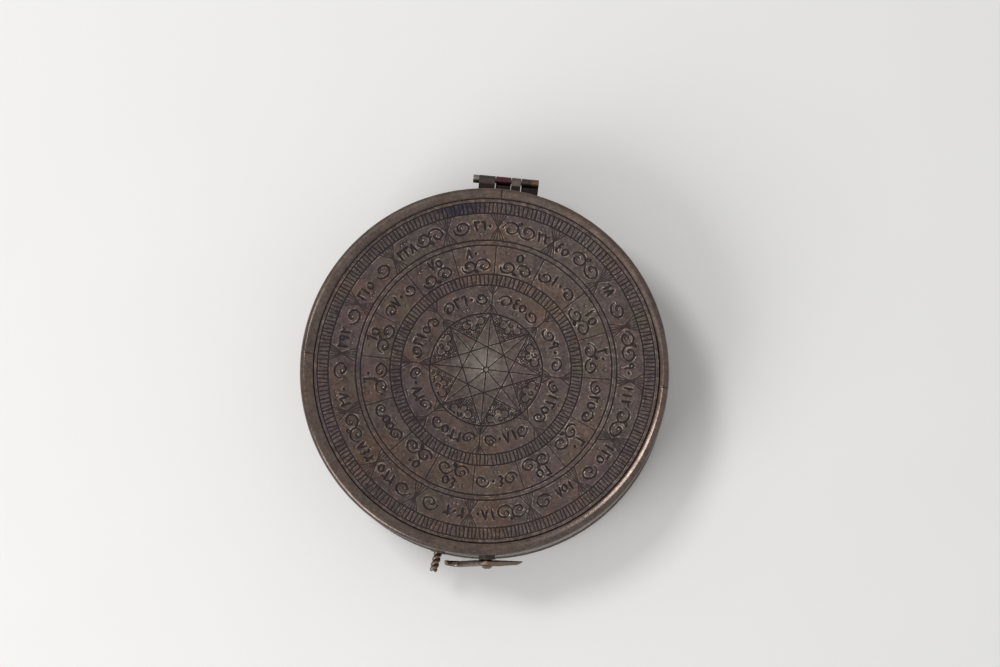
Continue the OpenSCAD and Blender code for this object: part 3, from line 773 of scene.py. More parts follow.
def with_underside(ring, top, under_z):
    """Points and marks of a ring's grid, with two more circles of points under its edges."""
    under = top[:, [-1, 0], :].copy()
    under[..., 2] = under_z
    blank = np.zeros(under.shape[:2])
    marks = {mark: np.concatenate([values, blank], 1) for mark, values in ring.marks().items()}
    return np.concatenate([top, under], 1), marks


def close_ring(ring, top, under_z):
    """Points, faces and marks of a flat ring: engraved top, outer wall, underside and inner wall."""
    points, marks = with_underside(ring, top, under_z)
    return points, [wrapped_quads(*points.shape[:2], closed=True)], marks


def close_disc(ring, top, under_z):
    """Points, faces and marks of a disc: engraved top, wall and underside, with a point in each middle."""
    grid, marks = with_underside(ring, top, under_z)
    middle = top[:, 0].mean(0)
    points, faces = capped_grid(grid, np.array([middle, [middle[0], middle[1], under_z]]))
    marks = {mark: np.append(values, [values[:, 0].mean(), 0]) for mark, values in marks.items()}
    return points, faces, marks


def make_lid_face(settings):
    """Adds the parts of the lid's face, from the star outwards: each is a level ring with the face's faint
    waves and the burrs added, and the cuts taken away."""
    step = settings.grid_step / MM
    tick_step = 0.14
    points_per_tick = 8
    inner_around = points_per_tick * settings.inner_ticks
    outer_around = points_per_tick * settings.outer_ticks
    grids = {
        "lid_star": (engrave_star, step, STAR_R, 0.87 * step, None),
        "lid_inner_cells": (engrave_inner_cells, STAR_R, INNER_CELL_R, step, None),
        "lid_inner_ticks": (engrave_inner_ticks, INNER_CELL_R, INNER_TICK_R, tick_step, inner_around),
        "lid_middle_cells": (engrave_middle_cells, INNER_TICK_R, MIDDLE_CELL_R, step, None),
        "lid_plain_band": (EngravedRing.edge_circles, MIDDLE_CELL_R, PLAIN_BAND_R, step, None),
        "lid_outer_cells": (engrave_outer_cells, PLAIN_BAND_R, OUTER_CELL_R, 1.07 * step, None),
        "lid_outer_ticks": (engrave_outer_ticks, OUTER_CELL_R, EDGE_LINE_R, tick_step, outer_around),
        "lid_edge_band": (engrave_edge_band, EDGE_LINE_R, FACE_R, 0.06, 2400),
    }
    finish = engraved_brass()
    for name, (engrave, inner, outer, ring_step, around) in grids.items():
        ring = EngravedRing(inner, outer, ring_step, settings, around)
        engrave(ring)
        close = close_disc if name == "lid_star" else close_ring
        points, faces, marks = close(ring, face_points(ring), FACE_UNDER_Z)
        add_piece(name, points, faces, finish, "lid", ["lid_plate"], marks)


def face_edge(turn, settings):
    """Distance from the lid's axis to the edge of its face: a circle round the middle of the engraving."""
    off_x = settings.shift[0] / MM
    off_y = settings.shift[1] / MM
    along = off_x * np.cos(turn) + off_y * np.sin(turn)
    across = off_x * np.sin(turn) - off_y * np.cos(turn)
    return along + np.sqrt((FACE_R + 0.01) ** 2 - across ** 2)


def rim_outline(foot_r):
    """Radii and heights of the rim's outline, and how near each is to its foot. Outside, it is an upright
    ellipse. Inside, it falls as a low power of the way in, and at its foot as a high one."""
    start = math.acos((WALL_R - CREST_R) / RIM_HALF_W)
    swing = np.linspace(-start, math.pi / 2, 24)
    inward = np.linspace(0, 1, 21)[1:]
    gentle = 0.55
    fallen = gentle * inward ** 1.3 + (1 - gentle) * inward ** 8
    outer_r = np.broadcast_to(CREST_R + RIM_HALF_W * np.cos(swing), (len(foot_r), len(swing)))
    radius = np.concatenate([outer_r, CREST_R - (CREST_R - foot_r) * inward], 1)
    height = np.concatenate([LID_TOP_Z - RIM_HALF_H * (1 - np.sin(swing)), LID_TOP_Z - RIM_FALL * fallen])
    at_foot = np.concatenate([np.zeros(len(swing)), smooth_step(inward, 0.96, 1.0)])
    return radius, height, at_foot


def make_lid_rim(settings):
    """Adds the lid's ring: its outline is carried round. The rim wavers a little, and three thin marks are
    scribed across it, in the east, north and west. Below are a ledge for the face, and the skirt."""
    turn = even_turns(1440)
    foot_r = face_edge(turn, settings)
    radius, height, at_foot = rim_outline(foot_r)
    x = CREST_R * np.cos(turn)
    y = CREST_R * np.sin(turn)
    sunk = 0.025 + 0.02 * uneven(x, y, 16, 8) + 0.012 * uneven(x, y, 4, 9)
    mark_half_w = 0.2
    mark = np.clip(1 - np.abs(from_nearest(turn, 4)) * CASE_R / mark_half_w, 0, 1) * (np.sin(turn) > -0.5)
    mark = mark * smooth_step(height, LID_TOP_Z - 0.9, LID_TOP_Z - 0.3)
    rim_r = radius - sunk * np.clip((radius - CREST_R) / RIM_HALF_W, 0, 1)
    rim_z = height - sunk * np.clip((height - FACE_Z) / RIM_FALL, 0, 1) - 0.1 * mark
    ledge_in_r = FACE_R - 0.6
    ledge_z = FACE_UNDER_Z - 0.8
    skirt_in_r = WALL_R - 1.5
    seam = 0.25
    corner_r = [ledge_in_r, ledge_in_r, skirt_in_r, skirt_in_r, WALL_R - seam, WALL_R]
    corner_z = [FACE_UNDER_Z, FACE_UNDER_Z, ledge_z, ledge_z, LID_UNDER_Z, LID_UNDER_Z, LID_UNDER_Z + seam]
    under_r = np.concatenate([foot_r, np.broadcast_to(corner_r, (len(turn), len(corner_r)))], 1)
    under_z = np.broadcast_to(corner_z, under_r.shape)
    points = round_axis(turn, np.concatenate([rim_r, under_r], 1), np.concatenate([rim_z, under_z], 1))
    faces = [wrapped_quads(*points.shape[:2], closed=True)[:, ::-1]]
    marks = {"cut_fill": np.concatenate([np.maximum(0.5 * at_foot, mark), np.zeros(under_r.shape)], 1)}
    add_piece("lid_rim_turned", points, faces, rim_brass(), "lid", ["lid_rim"], marks)


# Inside the case


def cut_degrees(ring):
    """Cuts a tick at every degree, longer at every fifth and longest at every tenth."""
    degree = math.radians(1)
    number = np.round((FIRST_TIP - ring.angle) / degree).astype(int) % 360
    from_tick = wrapped(FIRST_TIP - ring.angle - number * degree)
    length = np.where(number % 10 == 0, 1.7, np.where(number % 5 == 0, 1.3, 0.8))
    top = SCALE_OUT_R - SCALE_MARGIN
    inside = (ring.radius < top) & (ring.radius > top - length)
    ring.groove(np.where(inside, np.abs(from_tick * ring.radius), FAR), ring.line_w, ring.line_depth)


def make_dial_scale(settings):
    """Adds the thin level ring on the dial, with finer cuts than the lid's: degrees from the north,
    clockwise, with a number at every tenth."""
    ring = EngravedRing(SCALE_IN_R, SCALE_OUT_R, 0.12, settings, 1800)
    ring.line_w *= 0.6
    ring.line_depth *= 0.6
    ring.circle(SCALE_IN_R + 0.15)
    ring.circle(SCALE_OUT_R - SCALE_MARGIN)
    cut_degrees(ring)
    digit_h = 1.25
    digits_up = SCALE_IN_R + 1.15 - ring.middle
    for degrees in range(0, 360, 10):
        room = Patch(ring, FIRST_TIP - math.radians(degrees), math.radians(4.6))
        for line in number_lines(degrees, (0, digits_up), digit_h):
            room.write(line, 0.28, ring.line_depth)
    thickness = 0.15
    top = np.stack([ring.x, ring.y, DIAL_Z + thickness + 0.4 * ring.relief()], -1)
    points, faces, marks = close_ring(ring, top, DIAL_Z - 0.02)
    finish = printed_brass("scale_brass")
    add_piece("dial_scale", points, faces, finish, "case", marks=marks)


def cut_rose(ring, reach, half_w, first_turn):
    """Cuts and blackens four long kites that cross: each widens to half_w and then narrows to its tip, and
    one half of it is dark."""
    for quarter in range(4):
        turn = first_turn + quarter * math.pi / 2
        along = ring.x * math.cos(turn) + ring.y * math.sin(turn)
        across = ring.y * math.cos(turn) - ring.x * math.sin(turn)
        edge = np.minimum(along, (reach - along) * half_w / (reach - half_w))
        ring.groove(np.where(edge > -0.05, np.abs(np.abs(across) - edge), FAR), 0.2, 0.04)
        ring.raise_to("fill", 0.95 * ((across > 0) & (across < edge)))


def make_compass_card(settings):
    """Adds the compass card, in fine lines: eight points, ticks at every tenth degree and two circles."""
    card_r = high("compass_card").x
    ring = EngravedRing(0.14, card_r, 0.13, settings, 720)
    ring.line_w = 0.22
    ring.line_depth = 0.05
    cut_rose(ring, 0.55 * card_r, 0.9, math.radians(45))
    cut_rose(ring, 0.78 * card_r, 1.1, 0)
    tick_in_r = 0.84 * card_r
    tick_out_r = 0.95 * card_r
    ring.circle(tick_in_r)
    ring.circle(tick_out_r)
    from_tick = np.abs(from_nearest(ring.angle, 36)) * ring.radius
    inside = (ring.radius > tick_in_r) & (ring.radius < tick_out_r)
    ring.groove(np.where(inside, from_tick, FAR), ring.line_w, ring.line_depth)
    top = np.stack([ring.x, ring.y + COMPASS_Y, high("compass_card").z - 0.02 + ring.relief()], -1)
    points, faces, marks = close_disc(ring, top, low("compass_card").z)
    finish = printed_brass("card_finish")
    add_piece("compass_card_engraved", points, faces, finish, "case", ["compass_card"], marks)


# The catch


def unit(vectors):
    """Vectors of length one in the directions of others."""
    return vectors / np.linalg.norm(vectors, axis=1, keepdims=True)


def tube(path, radius, sides=16):
    """Points and faces of a closed round rod along a path: circles square to it, that don't twist."""
    run = unit(np.gradient(path, axis=0))
    aside = unit(np.cross(run, UP))
    above = np.cross(aside, run)
    turn = even_turns(sides)[..., None]
    points = path + (np.cos(turn) * aside + np.sin(turn) * above) * radius[:, None]
    return capped_grid(points, path[[0, -1]])


def make_catch_stud():
    """Adds the stud: two wires that wind round each other outwards through the wall, with domed ends."""
    out = np.append(towards(math.atan2(STUD.y, STUD.x)), 0)
    aside = np.array([-out[1], out[0], 0])
    start = 34.6
    end = 41.7
    wire_r = 0.45
    winding_r = 0.4
    turns = 3.1
    share = np.linspace(0, 1, 80)[:, None]
    middle = out * (start + (end - start) * share) + UP * STUD.z
    dome = np.sqrt(np.clip((1 - share[:, 0]) * (end - start) / wire_r, 0.02, 1))
    finish = plain_brass("wire_brass", "fitting", 3, (0.3, 0.5))
    for strand in range(2):
        turn = math.tau * turns * share + strand * math.pi
        points, faces = tube(middle + winding_r * (np.cos(turn) * aside + np.sin(turn) * UP), wire_r * dome)
        name = f"stud_wire_{strand + 1}"
        add_piece(name, points, faces, finish, "case", ["catch_stud"], crease=60)


def hook_path():
    """Centre line of the released hook, flat, from its pivot at the origin, with its width at each point: a
    tail, a wide eye, an arm that falls towards the stud and a jaw that follows a circle round it."""
    reach = np.hypot(*GRIPPED_STUD)
    heading = math.atan2(GRIPPED_STUD[1], GRIPPED_STUD[0])
    jaw = arc(GRIPPED_STUD, JAW_R, math.degrees(heading) + 90, math.degrees(heading) - 50, steps=26)
    tail = 7.2 * towards(math.radians(-29))
    tail_bow = np.array([0, 0.5])
    share = np.linspace(0, 1, 30)[:, None]
    back = tail * (1 - share) + tail_bow * np.sin(math.pi * share)
    leave = 0.45 * reach * towards(heading - 0.03)
    arrive = jaw[0] - 0.3 * reach * towards(heading)
    arm = 3 * share * (1 - share) ** 2 * leave + 3 * share ** 2 * (1 - share) * arrive + share ** 3 * jaw[0]
    path = np.concatenate([back, arm[1:], jaw[1:]])
    along = np.concatenate([[0], np.cumsum(np.hypot(*np.diff(path, axis=0).T))])
    past_eye = along - along[len(back) - 1]
    width = np.interp(past_eye, [past_eye[0], 0, 4, 0.9 * reach, past_eye[-1]], [1.1, 2.2, 2.4, 1.5, 0.8])
    eye_size = 1.5
    eye = eye_size * np.exp(-(past_eye / eye_size) ** 2)
    to_end = np.minimum(along, along[-1] - along)
    end_r = 0.45
    rounding = np.sqrt(np.clip(to_end / end_r, 0.02, 1))
    released = path @ np.array([towards(HOOK_RELEASE), towards(HOOK_RELEASE + math.pi / 2)])
    return released, (width + eye) * rounding


def squarish(wave):
    """A sine or cosine pushed out towards its ends, which makes an ellipse squarer."""
    return np.sign(wave) * np.abs(wave) ** 0.6


def make_catch_hook():
    """Adds the hammered hook: a rounded bar is carried along its path, which leans in towards the stud. Its
    outer side is dented, and comes in towards the tail and the jaw's tip."""
    path, width = hook_path()
    run = unit(np.gradient(path, axis=0))
    order = np.arange(len(path))
    to_end = np.minimum(order, order[::-1])
    thick = np.interp(path[:, 0], [-9, -7, 2, 7], [1.0, 1.3, 1.3, 0.75])
    thick = thick * np.sqrt(np.clip(to_end / 4, 0.05, 1))
    turn = even_turns(20)
    across = squarish(np.cos(turn)) * width / 2
    dent = 0.05 + 0.05 * uneven(path[:, 0] + 3 * np.cos(turn), path[:, 1], 1.7, 31)
    level = path[:, 0] - across * run[:, 1]
    above = path[:, 1] + across * run[:, 0] + PIVOT_Z
    out = HOOK_IN + HOOK_LEAN * path[:, 0] + (1 + squarish(np.sin(turn))) * thick / 2
    out = out - np.clip(np.sin(turn), 0, 1) * dent
    east = np.append(towards(HOOK_ANGLE), 0)
    outwards = np.append(towards(HOOK_ANGLE - math.pi / 2), 0)
    bar = level[..., None] * east + out[..., None] * outwards + above[..., None] * UP
    points, faces = capped_grid(bar, bar[:, [0, -1]].mean(0), turned=True)
    add_piece("catch_hook_forged", points, faces, hammered_brass(), "hook", ["catch_hook"])


# Finishes


class Nodes:
    """A node tree under construction."""

    def __init__(self, tree):
        self.tree = tree
        tree.nodes.clear()

    def put(self, socket, value):
        """Links a socket to another, or sets its value."""
        if isinstance(value, bpy.types.NodeSocket):
            self.tree.links.new(value, socket)
        elif isinstance(value, tuple) and len(value) == 3 and socket.type == "RGBA":
            socket.default_value = (*value, 1)
        else:
            socket.default_value = value

    def node(self, kind, inputs=None, **options):
        """Adds a node and sets its options and inputs."""
        made = self.tree.nodes.new(kind)
        for key, value in options.items():
            setattr(made, key, value)
        for key, value in (inputs or {}).items():
            self.put(made.inputs[key], value)
        return made

    def math(self, operation, first, second=0.0):
        """A sum, product or other operation on two numbers."""
        return self.node("ShaderNodeMath", {0: first, 1: second}, operation=operation).outputs[0]


class Finish(Nodes):
    """A material under construction, with one short method for each kind of node that is used."""

    def __init__(self, name):
        self.material = bpy.data.materials.new(name)
        self.material.use_nodes = True
        super().__init__(self.material.node_tree)
        self.shader = self.node("ShaderNodeBsdfPrincipled")
        self.node("ShaderNodeOutputMaterial", {"Surface": self.shader.outputs["BSDF"]})
        self.place = self.node("ShaderNodeTexCoord").outputs["Object"]

    def plus(self, first, second):
        """The sum of two numbers."""
        return self.math("ADD", first, second)

    def less(self, first, second):
        """The first number less the second."""
        return self.math("SUBTRACT", first, second)

    def times(self, first, second):
        """The product of two numbers."""
        return self.math("MULTIPLY", first, second)

    def blend(self, share, first, second, kind="MIX"):
        """A mix of two colours."""
        inputs = {0: share, 6: first, 7: second}
        return self.node("ShaderNodeMix", inputs, data_type="RGBA", blend_type=kind).outputs[2]

    def shade(self, colour, level):
        """A colour made darker or paler by a number."""
        grey = self.node("ShaderNodeCombineColor", {0: level, 1: level, 2: level}).outputs[0]
        return self.blend(1.0, colour, grey, "MULTIPLY")

    def between(self, value, start, end, low_value=0.0, high_value=1.0):
        """An even S-curve from low_value at start to high_value at end."""
        inputs = {"Value": value, "From Min": start, "From Max": end}
        inputs.update({"To Min": low_value, "To Max": high_value})
        return self.node("ShaderNodeMapRange", inputs, interpolation_type="SMOOTHSTEP").outputs["Result"]

    def noise(self, size, detail=3.0, roughness=0.55, distortion=0.0, stretch=None):
        """Soft noise whose features are about this many millimetres across."""
        place = self.place
        if stretch:
            place = self.node("ShaderNodeMapping", {"Vector": place, "Scale": stretch}).outputs["Vector"]
        inputs = {"Vector": place, "Scale": 1 / (size * MM)}
        inputs.update({"Detail": detail, "Roughness": roughness, "Distortion": distortion})
        return self.node("ShaderNodeTexNoise", inputs).outputs["Fac"]

    def drift(self, size, low_value, high_value):
        """A number that drifts between two values in patches about this many millimetres across."""
        return self.between(self.noise(size, 4.0), 0.3, 0.7, low_value, high_value)

    def cells(self, size):
        """Distance to the nearest of scattered points about this many millimetres apart."""
        inputs = {"Vector": self.place, "Scale": 1 / (size * MM)}
        return self.node("ShaderNodeTexVoronoi", inputs).outputs["Distance"]

    def rings(self, size, middle=(0, 0)):
        """Noise in circles round an upright axis, as a lathe leaves: its lines are about this far apart."""
        shift = (-middle[0] * MM, -middle[1] * MM, 0)
        inputs = {"Vector": self.place, "Location": shift, "Scale": (1, 1, 0)}
        flat = self.node("ShaderNodeMapping", inputs).outputs["Vector"]
        radius = self.node("ShaderNodeVectorMath", {0: flat}, operation="LENGTH").outputs["Value"]
        inputs = {"W": radius, "Scale": 1 / (size * MM), "Detail": 3.0}
        return self.node("ShaderNodeTexNoise", inputs, noise_dimensions="1D").outputs["Fac"]

    def part(self, axis, vector=None):
        """One part of a vector: of the place on the object if no other is given."""
        return self.node("ShaderNodeSeparateXYZ", {0: vector or self.place}).outputs[axis]

    def mark(self, name):
        """A number kept at the points of the piece."""
        return self.node("ShaderNodeAttribute", attribute_name=name).outputs["Fac"]

    def bump(self, height, distance, strength, normal=None):
        """A bump of this many millimetres, on top of an earlier one where given."""
        inputs = {"Height": height, "Distance": distance * MM, "Strength": strength}
        if normal:
            inputs["Normal"] = normal
        return self.node("ShaderNodeBump", inputs).outputs["Normal"]

    def finish(self, **inputs):
        """Sets the shader's inputs and returns the material."""
        for key, value in inputs.items():
            self.put(self.shader.inputs[key.replace("_", " ")], value)
        return self.material


def tinted(colour, red, green=None, blue=None):
    """A colour with its red, green and blue each times a share, or all times the first."""
    shares = (red, red if green is None else green, red if blue is None else blue)
    return tuple(part * share for part, share in zip(colour, shares))


def panel_colour(name):
    """A colour that the panel keeps."""
    return tuple(getattr(bpy.context.scene.qibla_finishes, name))


def tones_of(name):
    """The three tints of a metal: plain, warm and dull."""
    plain = panel_colour(name)
    return plain, tinted(plain, 1.14, 0.99, 0.88), tinted(plain, 0.86, 0.85, 0.87)


def brass_colour(finish, tones, patch, speckle=0.5):
    """Brass whose tone drifts between three tints in patches, clouded and speckled, with dark pits."""
    plain, warm, dull = tones
    warmer = finish.between(finish.noise(patch, 2.0), 0.42, 0.62)
    duller = finish.between(finish.noise(0.6 * patch, 4.0, distortion=0.6), 0.46, 0.66)
    colour = finish.blend(duller, finish.blend(warmer, plain, warm), dull)
    clouds = finish.noise(0.16 * patch, 5.0, 0.65)
    cloud = finish.between(clouds, 0.3, 0.72, 1 - 0.22 * speckle, 1 + 0.14 * speckle)
    specks = finish.noise(0.5, 4.0, 0.75)
    speck = finish.between(specks, 0.34, 0.66, 1 - 0.3 * speckle, 1 + 0.26 * speckle)
    colour = finish.shade(colour, finish.times(cloud, speck))
    pits = finish.between(finish.cells(1.9), 0.05, 0.11, 0.75, 0.0)
    return finish.blend(pits, colour, tinted(dull, 0.3))


def turned(finish, normal, middle=(0, 0)):
    """The lathe's fine lines, in circles on level faces and round the walls, as a number and a bump."""
    on_level = finish.rings(0.35, middle)
    on_wall = finish.noise(0.4, stretch=(0.03, 0.03, 1))
    facing = finish.node("ShaderNodeNewGeometry").outputs["Normal"]
    level = finish.between(finish.math("ABSOLUTE", finish.part("Z", facing)), 0.4, 0.7)
    lines = finish.plus(finish.times(on_level, level), finish.times(on_wall, finish.less(1.0, level)))
    return lines, finish.bump(lines, 0.03, 0.6, normal)


def scratched(finish, strength):
    """Fine scratches in two directions over the faint grain of old cast metal."""
    grain = finish.bump(finish.noise(0.35, 4.0, 0.7), 0.02, strength)
    first = finish.bump(finish.noise(0.5, 2.0, stretch=(12, 0.7, 1)), 0.012, strength, grain)
    return finish.bump(finish.noise(0.5, 2.0, stretch=(0.8, 9, 1)), 0.012, strength, first)


def face_colour(finish, painted_light_east):
    """The face's muted brass, with painted light that makes it paler towards the east, and reddish, violet
    and olive patches.
    """
    tones = tones_of("face")
    colour = brass_colour(finish, tones, 13, speckle=1)
    # Painted light: the face is darker in the west and paler in the east.
    colour = finish.shade(colour, finish.between(painted_light_east, 0.0, 1.0, 0.83, 1.17))
    reddish = finish.between(finish.noise(5, distortion=0.4), 0.56, 0.68, 0.0, 0.4)
    violet = finish.between(finish.noise(7), 0.52, 0.68, 0.0, 0.4)
    olive = finish.between(finish.noise(6, 4.0, distortion=0.8), 0.55, 0.7, 0.0, 0.6)
    colour = finish.blend(reddish, colour, tinted(tones[0], 1.32, 0.96, 0.84))
    colour = finish.blend(violet, colour, tinted(tones[0], 0.95, 0.88, 1.14))
    colour = finish.blend(olive, colour, tinted(tones[0], 0.98, 1.04, 0.84))
    stain = finish.times(finish.mark("tarnish"), 0.95)
    return finish.blend(stain, colour, tinted(tones[0], 0.2, 0.25, 0.55))


def engraved_brass():
    """The lid's face: muted old brass, with painted light that makes it paler towards the east and a painted
    sheen near the star's middle, and with dark wax and dirt in every cut. Its underside is warm turned
    brass."""
    finish = Finish("engraved_brass")
    nearly_east = {0: finish.place, 1: (0.99, 0.12, 0)}
    east = finish.node("ShaderNodeVectorMath", nearly_east, operation="DOT_PRODUCT").outputs["Value"]
    east = finish.plus(east, finish.times(finish.noise(14), 24 * MM))
    # Painted light: a slow rise in tone towards the east, standing in for light falling more on that side.
    painted_light_east = finish.between(east, -18 * MM, 42 * MM)
    colour = face_colour(finish, painted_light_east)
    worn = finish.times(finish.mark("worn"), finish.between(finish.noise(1.0), 0.5, 0.64, 0.0, 0.9))
    # Painted light: the worn edges are also made brighter towards the east.
    worn = finish.times(worn, finish.between(painted_light_east, 0.0, 1.0, 0.7, 1.35))
    colour = finish.blend(worn, colour, panel_colour("worn"))
    fill = finish.mark("cut_fill")
    dirt = finish.times(fill, finish.between(finish.noise(0.9, 2.0), 0.3, 0.55, 0.7, 1.0))
    colour = finish.blend(dirt, colour, panel_colour("dirt"))
    # The shine mark makes the metal paler: burnished punch floors, and a painted sheen near the star's
    # middle.
    rubbed = finish.between(finish.noise(1.6, 2.0), 0.36, 0.56, 0.45, 1.0)
    bright = finish.times(finish.mark("shine"), rubbed)
    colour = finish.blend(bright, colour, (0.42, 0.37, 0.33))
    rough = finish.plus(finish.drift(3, 0.36, 0.52), finish.times(fill, 0.3))
    rough = finish.less(rough, finish.times(worn, 0.14))
    metal = finish.less(0.95, finish.times(dirt, 0.9))
    under = finish.between(finish.part("Z"), (FACE_UNDER_Z + 0.1) * MM, (FACE_UNDER_Z + 0.4) * MM, 1.0, 0.0)
    lines = finish.rings(0.6)
    inner_plain, _, inner_dull = tones_of("inner")
    inside = finish.blend(finish.between(lines, 0.35, 0.65, 0.0, 0.5), inner_plain, inner_dull)
    covered = finish.times(under, finish.between(finish.noise(8, 4.0), 0.35, 0.6, 0.8, 0.92))
    normal = finish.bump(finish.times(lines, under), 0.05, 0.7, scratched(finish, 0.6))
    return finish.finish(Base_Color=finish.blend(covered, colour, inside), Roughness=rough, Metallic=metal,
                         Specular_IOR_Level=0.28, Normal=normal)


def rim_brass():
    """The lid's round rim: rubbed smooth by hands on the catch's side, and matte towards the hinge, with
    dirt in its scribed marks."""
    finish = Finish("rim_brass")
    plain, warm, dull = tones_of("rim")
    faintly_warm = tuple((first + second) / 2 for first, second in zip(plain, warm))
    colour = brass_colour(finish, (plain, faintly_warm, dull), 11, speckle=0.9)
    colour = finish.blend(finish.mark("cut_fill"), colour, panel_colour("dirt"))
    unhandled = finish.between(finish.part("Y"), 4 * MM, 17 * MM)
    rough = finish.plus(finish.drift(2.4, 0.17, 0.26), finish.times(unhandled, 0.4))
    lines, normal = turned(finish, scratched(finish, 0.35))
    colour = finish.blend(finish.between(lines, 0.35, 0.65, 0.0, 0.35), colour, dull)
    return finish.finish(Base_Color=colour, Roughness=rough, Metallic=1.0, Normal=normal)


def plain_brass(name, tint, patch, rough, lathe=None):
    """Brass of one tint, with turning lines round an axis where given."""
    finish = Finish(name)
    tones = tones_of(tint)
    colour = brass_colour(finish, tones, patch)
    normal = scratched(finish, 0.45)
    if lathe is not None:
        lines, normal = turned(finish, normal, lathe)
        colour = finish.blend(finish.between(lines, 0.35, 0.65, 0.0, 0.5), colour, tones[2])
    return finish.finish(Base_Color=colour, Roughness=finish.drift(3, *rough), Metallic=1.0, Normal=normal)


def hinge_brass():
    """The hinge: worn brass whose knuckles are stained copper-red, pale and orange in turn on their upper
    side, and whose leaves are darkened by painted shade between the walls and the knuckles."""
    finish = Finish("hinge_brass")
    colour = brass_colour(finish, tones_of("hinge"), 4)
    east = finish.plus(finish.part("X"), finish.times(finish.noise(1.2), 0.6 * MM))
    north = finish.part("Y")
    knuckle_foot = KNUCKLE.y - 0.85
    on_top = finish.between(finish.part("Z"), (KNUCKLE.z - 0.1) * MM, (KNUCKLE.z + 0.6) * MM)
    on_knuckle = finish.between(north, (knuckle_foot - 0.5) * MM, (knuckle_foot + 0.2) * MM)
    patchy = finish.between(finish.noise(1.0, 4.0), 0.3, 0.6, 0.6, 1.0)
    stained = finish.times(finish.times(on_top, on_knuckle), patchy)
    soft = 0.2
    # Each stain's west and east end, colour and strength
    stains = (
        (-1.6, 1.7, (0.065, 0.022, 0.031), 0.9),
        (1.7, 3.75, (0.13, 0.105, 0.092), 0.75),
        (5.9, 9.0, (0.15, 0.083, 0.045), 0.75),
    )
    for start, end, stain, strength in stains:
        from_start = finish.between(east, (start - soft) * MM, (start + soft) * MM)
        to_end = finish.between(east, (end - soft) * MM, (end + soft) * MM, strength, 0.0)
        colour = finish.blend(finish.times(finish.times(from_start, to_end), stained), colour, stain)
    # Painted shade: the leaves are darkened between the wall and the knuckles, where shade falls.
    off_wall = finish.between(north, LEAF_R * MM, (LEAF_R + 0.2) * MM)
    before_knuckle = finish.between(north, (knuckle_foot - 0.25) * MM, (knuckle_foot + 0.15) * MM, 0.85, 0.0)
    colour = finish.blend(finish.times(off_wall, before_knuckle), colour, panel_colour("dirt"))
    return finish.finish(Base_Color=colour, Roughness=finish.drift(1.5, 0.3, 0.5), Metallic=1.0,
                         Normal=scratched(finish, 0.5))


def hammered_brass():
    """The hook: brass with the flat marks of the hammer."""
    finish = Finish("hammered_brass")
    colour = brass_colour(finish, tones_of("fitting"), 4)
    blows = finish.bump(finish.cells(1.7), 0.12, 0.6, scratched(finish, 0.5))
    rough = finish.drift(1.5, 0.3, 0.48)
    return finish.finish(Base_Color=colour, Roughness=rough, Metallic=1.0, Normal=blows)


def steel(name, colour, rough, bright_from=None):
    """Steel with a drift of tint, fine scratches and small rust. It is bright south of a place if given."""
    finish = Finish(name)
    tint = finish.blend(finish.between(finish.noise(3), 0.35, 0.65), colour, tinted(colour, 1.35))
    if bright_from is not None:
        south = finish.between(finish.part("Y"), (bright_from - 1) * MM, bright_from * MM, 1.0, 0.0)
        tint = finish.blend(south, tint, (0.42, 0.41, 0.39))
    rust = finish.between(finish.noise(0.8, 5.0, 0.7), 0.66, 0.74, 0.0, 0.7)
    tint = finish.blend(rust, tint, (0.16, 0.07, 0.035))
    return finish.finish(Base_Color=tint, Roughness=finish.drift(1.2, *rough), Metallic=1.0,
                         Normal=scratched(finish, 0.3))


def printed_brass(name):
    """Pale silvered brass, yellowed in patches, with black wax in its lines."""
    finish = Finish(name)
    colour = brass_colour(finish, tones_of("card"), 6)
    wax = finish.times(finish.mark("cut_fill"), finish.between(finish.noise(0.8), 0.3, 0.5, 0.7, 1.0))
    colour = finish.blend(wax, colour, panel_colour("dirt"))
    metal = finish.less(0.9, finish.times(wax, 0.85))
    return finish.finish(Base_Color=colour, Roughness=finish.drift(2, 0.34, 0.5), Metallic=metal,
                         Normal=scratched(finish, 0.3))


def old_glass():
    """The compass glass: clear, a little green, with faint waves and a film of dust."""
    finish = Finish("old_glass")
    dust = finish.between(finish.noise(4, 5.0, 0.7), 0.4, 0.7, 0.02, 0.12)
    waves = finish.bump(finish.noise(5, 1.0), 0.05, 0.3)
    tint = finish.blend(finish.noise(6, 2.0), (0.93, 0.97, 0.95), (0.97, 0.99, 0.97))
    return finish.finish(Base_Color=tint, Roughness=dust, Transmission_Weight=1.0, IOR=1.48, Normal=waves)


